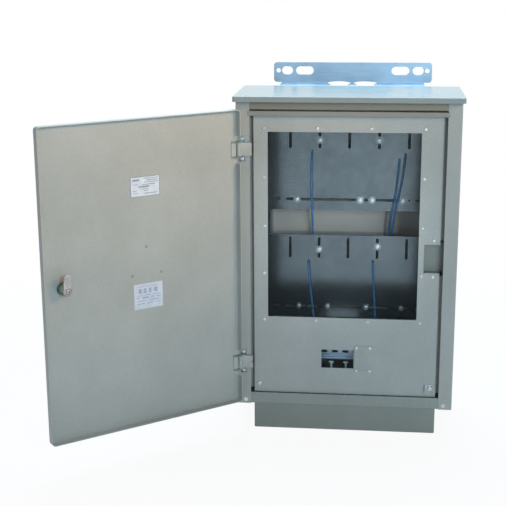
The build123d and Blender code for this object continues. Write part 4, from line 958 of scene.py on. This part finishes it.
# %% Openings through the brackets' bend
arch_x = 32.0
arch_half_width = 28.0
arch_height = 4.6
upright_y = 216.0
cut_depth = 30.0
foot_levels = {"upper_mounting_bracket": 783.5, "lower_mounting_bracket": 70.5}
for node, level in foot_levels.items():
    bracket = merged_copy(node)
    for side in (-1, 1):
        bpy.ops.object.select_all(action="DESELECT")
        bpy.ops.mesh.primitive_cylinder_add(vertices=48, radius=mm, depth=cut_depth * mm,
                                            location=(side * arch_x * mm, upright_y * mm, level * mm),
                                            rotation=(math.radians(90), 0, 0))
        arch = bpy.context.object
        arch.scale = (arch_half_width, arch_height, 1.0)
        apply_place(arch)
        modify(bracket, "BOOLEAN", object=arch, operation="DIFFERENCE", solver="EXACT")
        discard(arch)
    smooth(bracket, 30)
    dress(bracket, "arched_" + node, "cabinet", bracket_zinc, "galvanised_steel", node)

# %% [markdown]
# ## Finishes of the CAD pieces
# The sheets and rails keep their CAD shape, and each takes the finish of its real metal. The darker paint
# copies on the body, the lintel band, the rain strip and the lock pocket are painted shade.

# %% Give every CAD piece its finish
finishes = {
    paint: ["inner_panel", "door_pan"],
    body_shade_paint: ["body_wrap", "panel_rails"],
    sill_paint: ["bottom_panel"],
    roof_paint: ["roof_canopy"],
    lintel_shade_paint: ["top_panel"],
    strip_shade_paint: ["rain_strip"],
    # The lock pocket takes the plinth's darker grey: painted shade in its recess.
    plinth_paint: ["plinth_collar", "lock_pocket"],
    plate_zinc: ["plate_rails", "gland_plate", "rail_stands"],
    bracket_zinc: ["din_rail"],
    washer_zinc: ["upper_meter_washers", "lower_meter_washers"],
    screw_zinc: ["upper_meter_nuts", "lower_meter_nuts", "plinth_nuts", "bracket_nuts", "earth_stud",
                 "earth_nuts"],
    lock_zinc: ["lock_rotor"],
    clear_sheet: ["window_sheet"],
    post_plastic: ["tie_posts"],
    rubber: ["lead_grommets"],
}
for material, nodes in finishes.items():
    for node in nodes:
        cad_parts[node].data.materials.clear()
        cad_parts[node].data.materials.append(material)
discard(small_screw, panel_screw, meter_bolt, flat_screw, hex_head)
print("finished", sum(len(nodes) for nodes in finishes.values()), "CAD nodes")

# %% [markdown]
# ## Floor and light
# A white studio: the floor and the world are white to the camera, and the floor still
# darkens under the object. A cool softbox above whitens the roof and another fills the
# front. A warm spot stands high on the right: it lights the door's upper half and fades
# towards its foot, and only grazes the panel. A narrow spot shines in through the window
# on the back wall between the plates.

# %% Floor
bpy.ops.object.select_all(action="DESELECT")
bpy.ops.mesh.primitive_plane_add(size=14.0, location=(0, 0, -0.0005))
floor = bpy.context.object
floor.name = "studio_floor"
floor_material, tree, output, place = start("pale_studio_floor")
seen = add(tree, "ShaderNodeLightPath")
grain = add(tree, "ShaderNodeTexNoise", {"Vector": place, "Scale": 3.0})
tone = ramp(tree, grain.outputs["Fac"], [(0.3, "#E9E9E9"), (0.7, "#EFEFEF")])
matt = add(tree, "ShaderNodeBsdfDiffuse", {"Color": tone})
white = add(tree, "ShaderNodeEmission", {"Color": (1, 1, 1, 1), "Strength": 1.0})
either = add(tree, "ShaderNodeMath", {0: seen.outputs["Is Camera Ray"], 1: seen.outputs["Is Glossy Ray"]},
             operation="MAXIMUM")
reach = add(tree, "ShaderNodeVectorMath", {0: place}, operation="LENGTH")
fade = add(tree, "ShaderNodeMapRange", {"Value": reach.outputs["Value"], "From Min": 0.5, "From Max": 1.8,
                                        "To Min": 0.93, "To Max": 1.0})
share = add(tree, "ShaderNodeMath", {0: either.outputs[0], 1: fade.outputs["Result"]}, operation="MULTIPLY")
mixed = add(tree, "ShaderNodeMixShader", {"Fac": share.outputs[0], 1: matt.outputs[0], 2: white.outputs[0]})
tree.links.new(mixed.outputs[0], output.inputs["Surface"])
floor.data.materials.append(floor_material)
print("floor", [round(side, 1) for side in floor.dimensions[:2]], "m")

# %% World
world = bpy.data.worlds.new("white_studio")
bpy.context.scene.world = world
world.use_nodes = True
tree = world.node_tree
tree.nodes.clear()
output = add(tree, "ShaderNodeOutputWorld")
seen = add(tree, "ShaderNodeLightPath")
ambient = add(tree, "ShaderNodeBackground", {"Color": (0.82, 0.90, 0.96, 1.0), "Strength": 0.20})
white = add(tree, "ShaderNodeBackground", {"Color": (1, 1, 1, 1), "Strength": 1.0})
first = add(tree, "ShaderNodeMath", {0: seen.outputs["Is Camera Ray"], 1: seen.outputs["Is Glossy Ray"]},
            operation="MAXIMUM")
either = add(tree, "ShaderNodeMath", {0: first.outputs[0], 1: seen.outputs["Is Transmission Ray"]},
             operation="MAXIMUM")
mixed = add(tree, "ShaderNodeMixShader", {"Fac": either.outputs[0], 1: ambient.outputs[0],
                                          2: white.outputs[0]})
tree.links.new(mixed.outputs[0], output.inputs["Surface"])
print("world", world.name)

# %% Lamps


def stand_lamp(name, data, place, target, colour, power):
    """Stand a lamp at its place and turn it to look at a target."""
    data.color = colour
    data.energy = power
    made = bpy.data.objects.new(name, data)
    bpy.context.scene.collection.objects.link(made)
    direction = Vector(target) - Vector(place)
    made.matrix_world = Matrix.Translation(place) @ direction.to_track_quat("-Z", "Y").to_matrix().to_4x4()
    print(name, power, "W")


def soft_box(name, place, target, size, colour, power):
    """Square area lamp, its side in metres."""
    data = bpy.data.lights.new(name, "AREA")
    data.shape = "SQUARE"
    data.size = size
    stand_lamp(name, data, place, target, colour, power)


def spot_lamp(name, place, target, degrees, softness, colour, power):
    """Spot lamp whose cone fades from its middle to its edge."""
    data = bpy.data.lights.new(name, "SPOT")
    data.spot_size = math.radians(degrees)
    data.spot_blend = 1.0
    data.shadow_soft_size = softness
    stand_lamp(name, data, place, target, colour, power)


soft_box("cool_top", (0.0, 0.75, 2.3), (0.0, 0.0, 0.75), 1.6, (0.52, 0.80, 1.0), 76.0)
soft_box("cool_front", (1.3, -3.1, 1.55), (-0.1, 0.0, 0.40), 1.0, (0.61, 0.84, 1.0), 48.5)
spot_lamp("warm_key", (1.35, -1.0, 1.45), (-0.36, -0.25, 0.92), 44, 0.25, (1.0, 0.675, 0.31), 82.0)
spot_lamp("window_fill", (0.46, -1.75, 0.50), (-0.05, 0.1, 0.47), 13.5, 0.10, (0.90, 0.96, 1.0), 48.0)
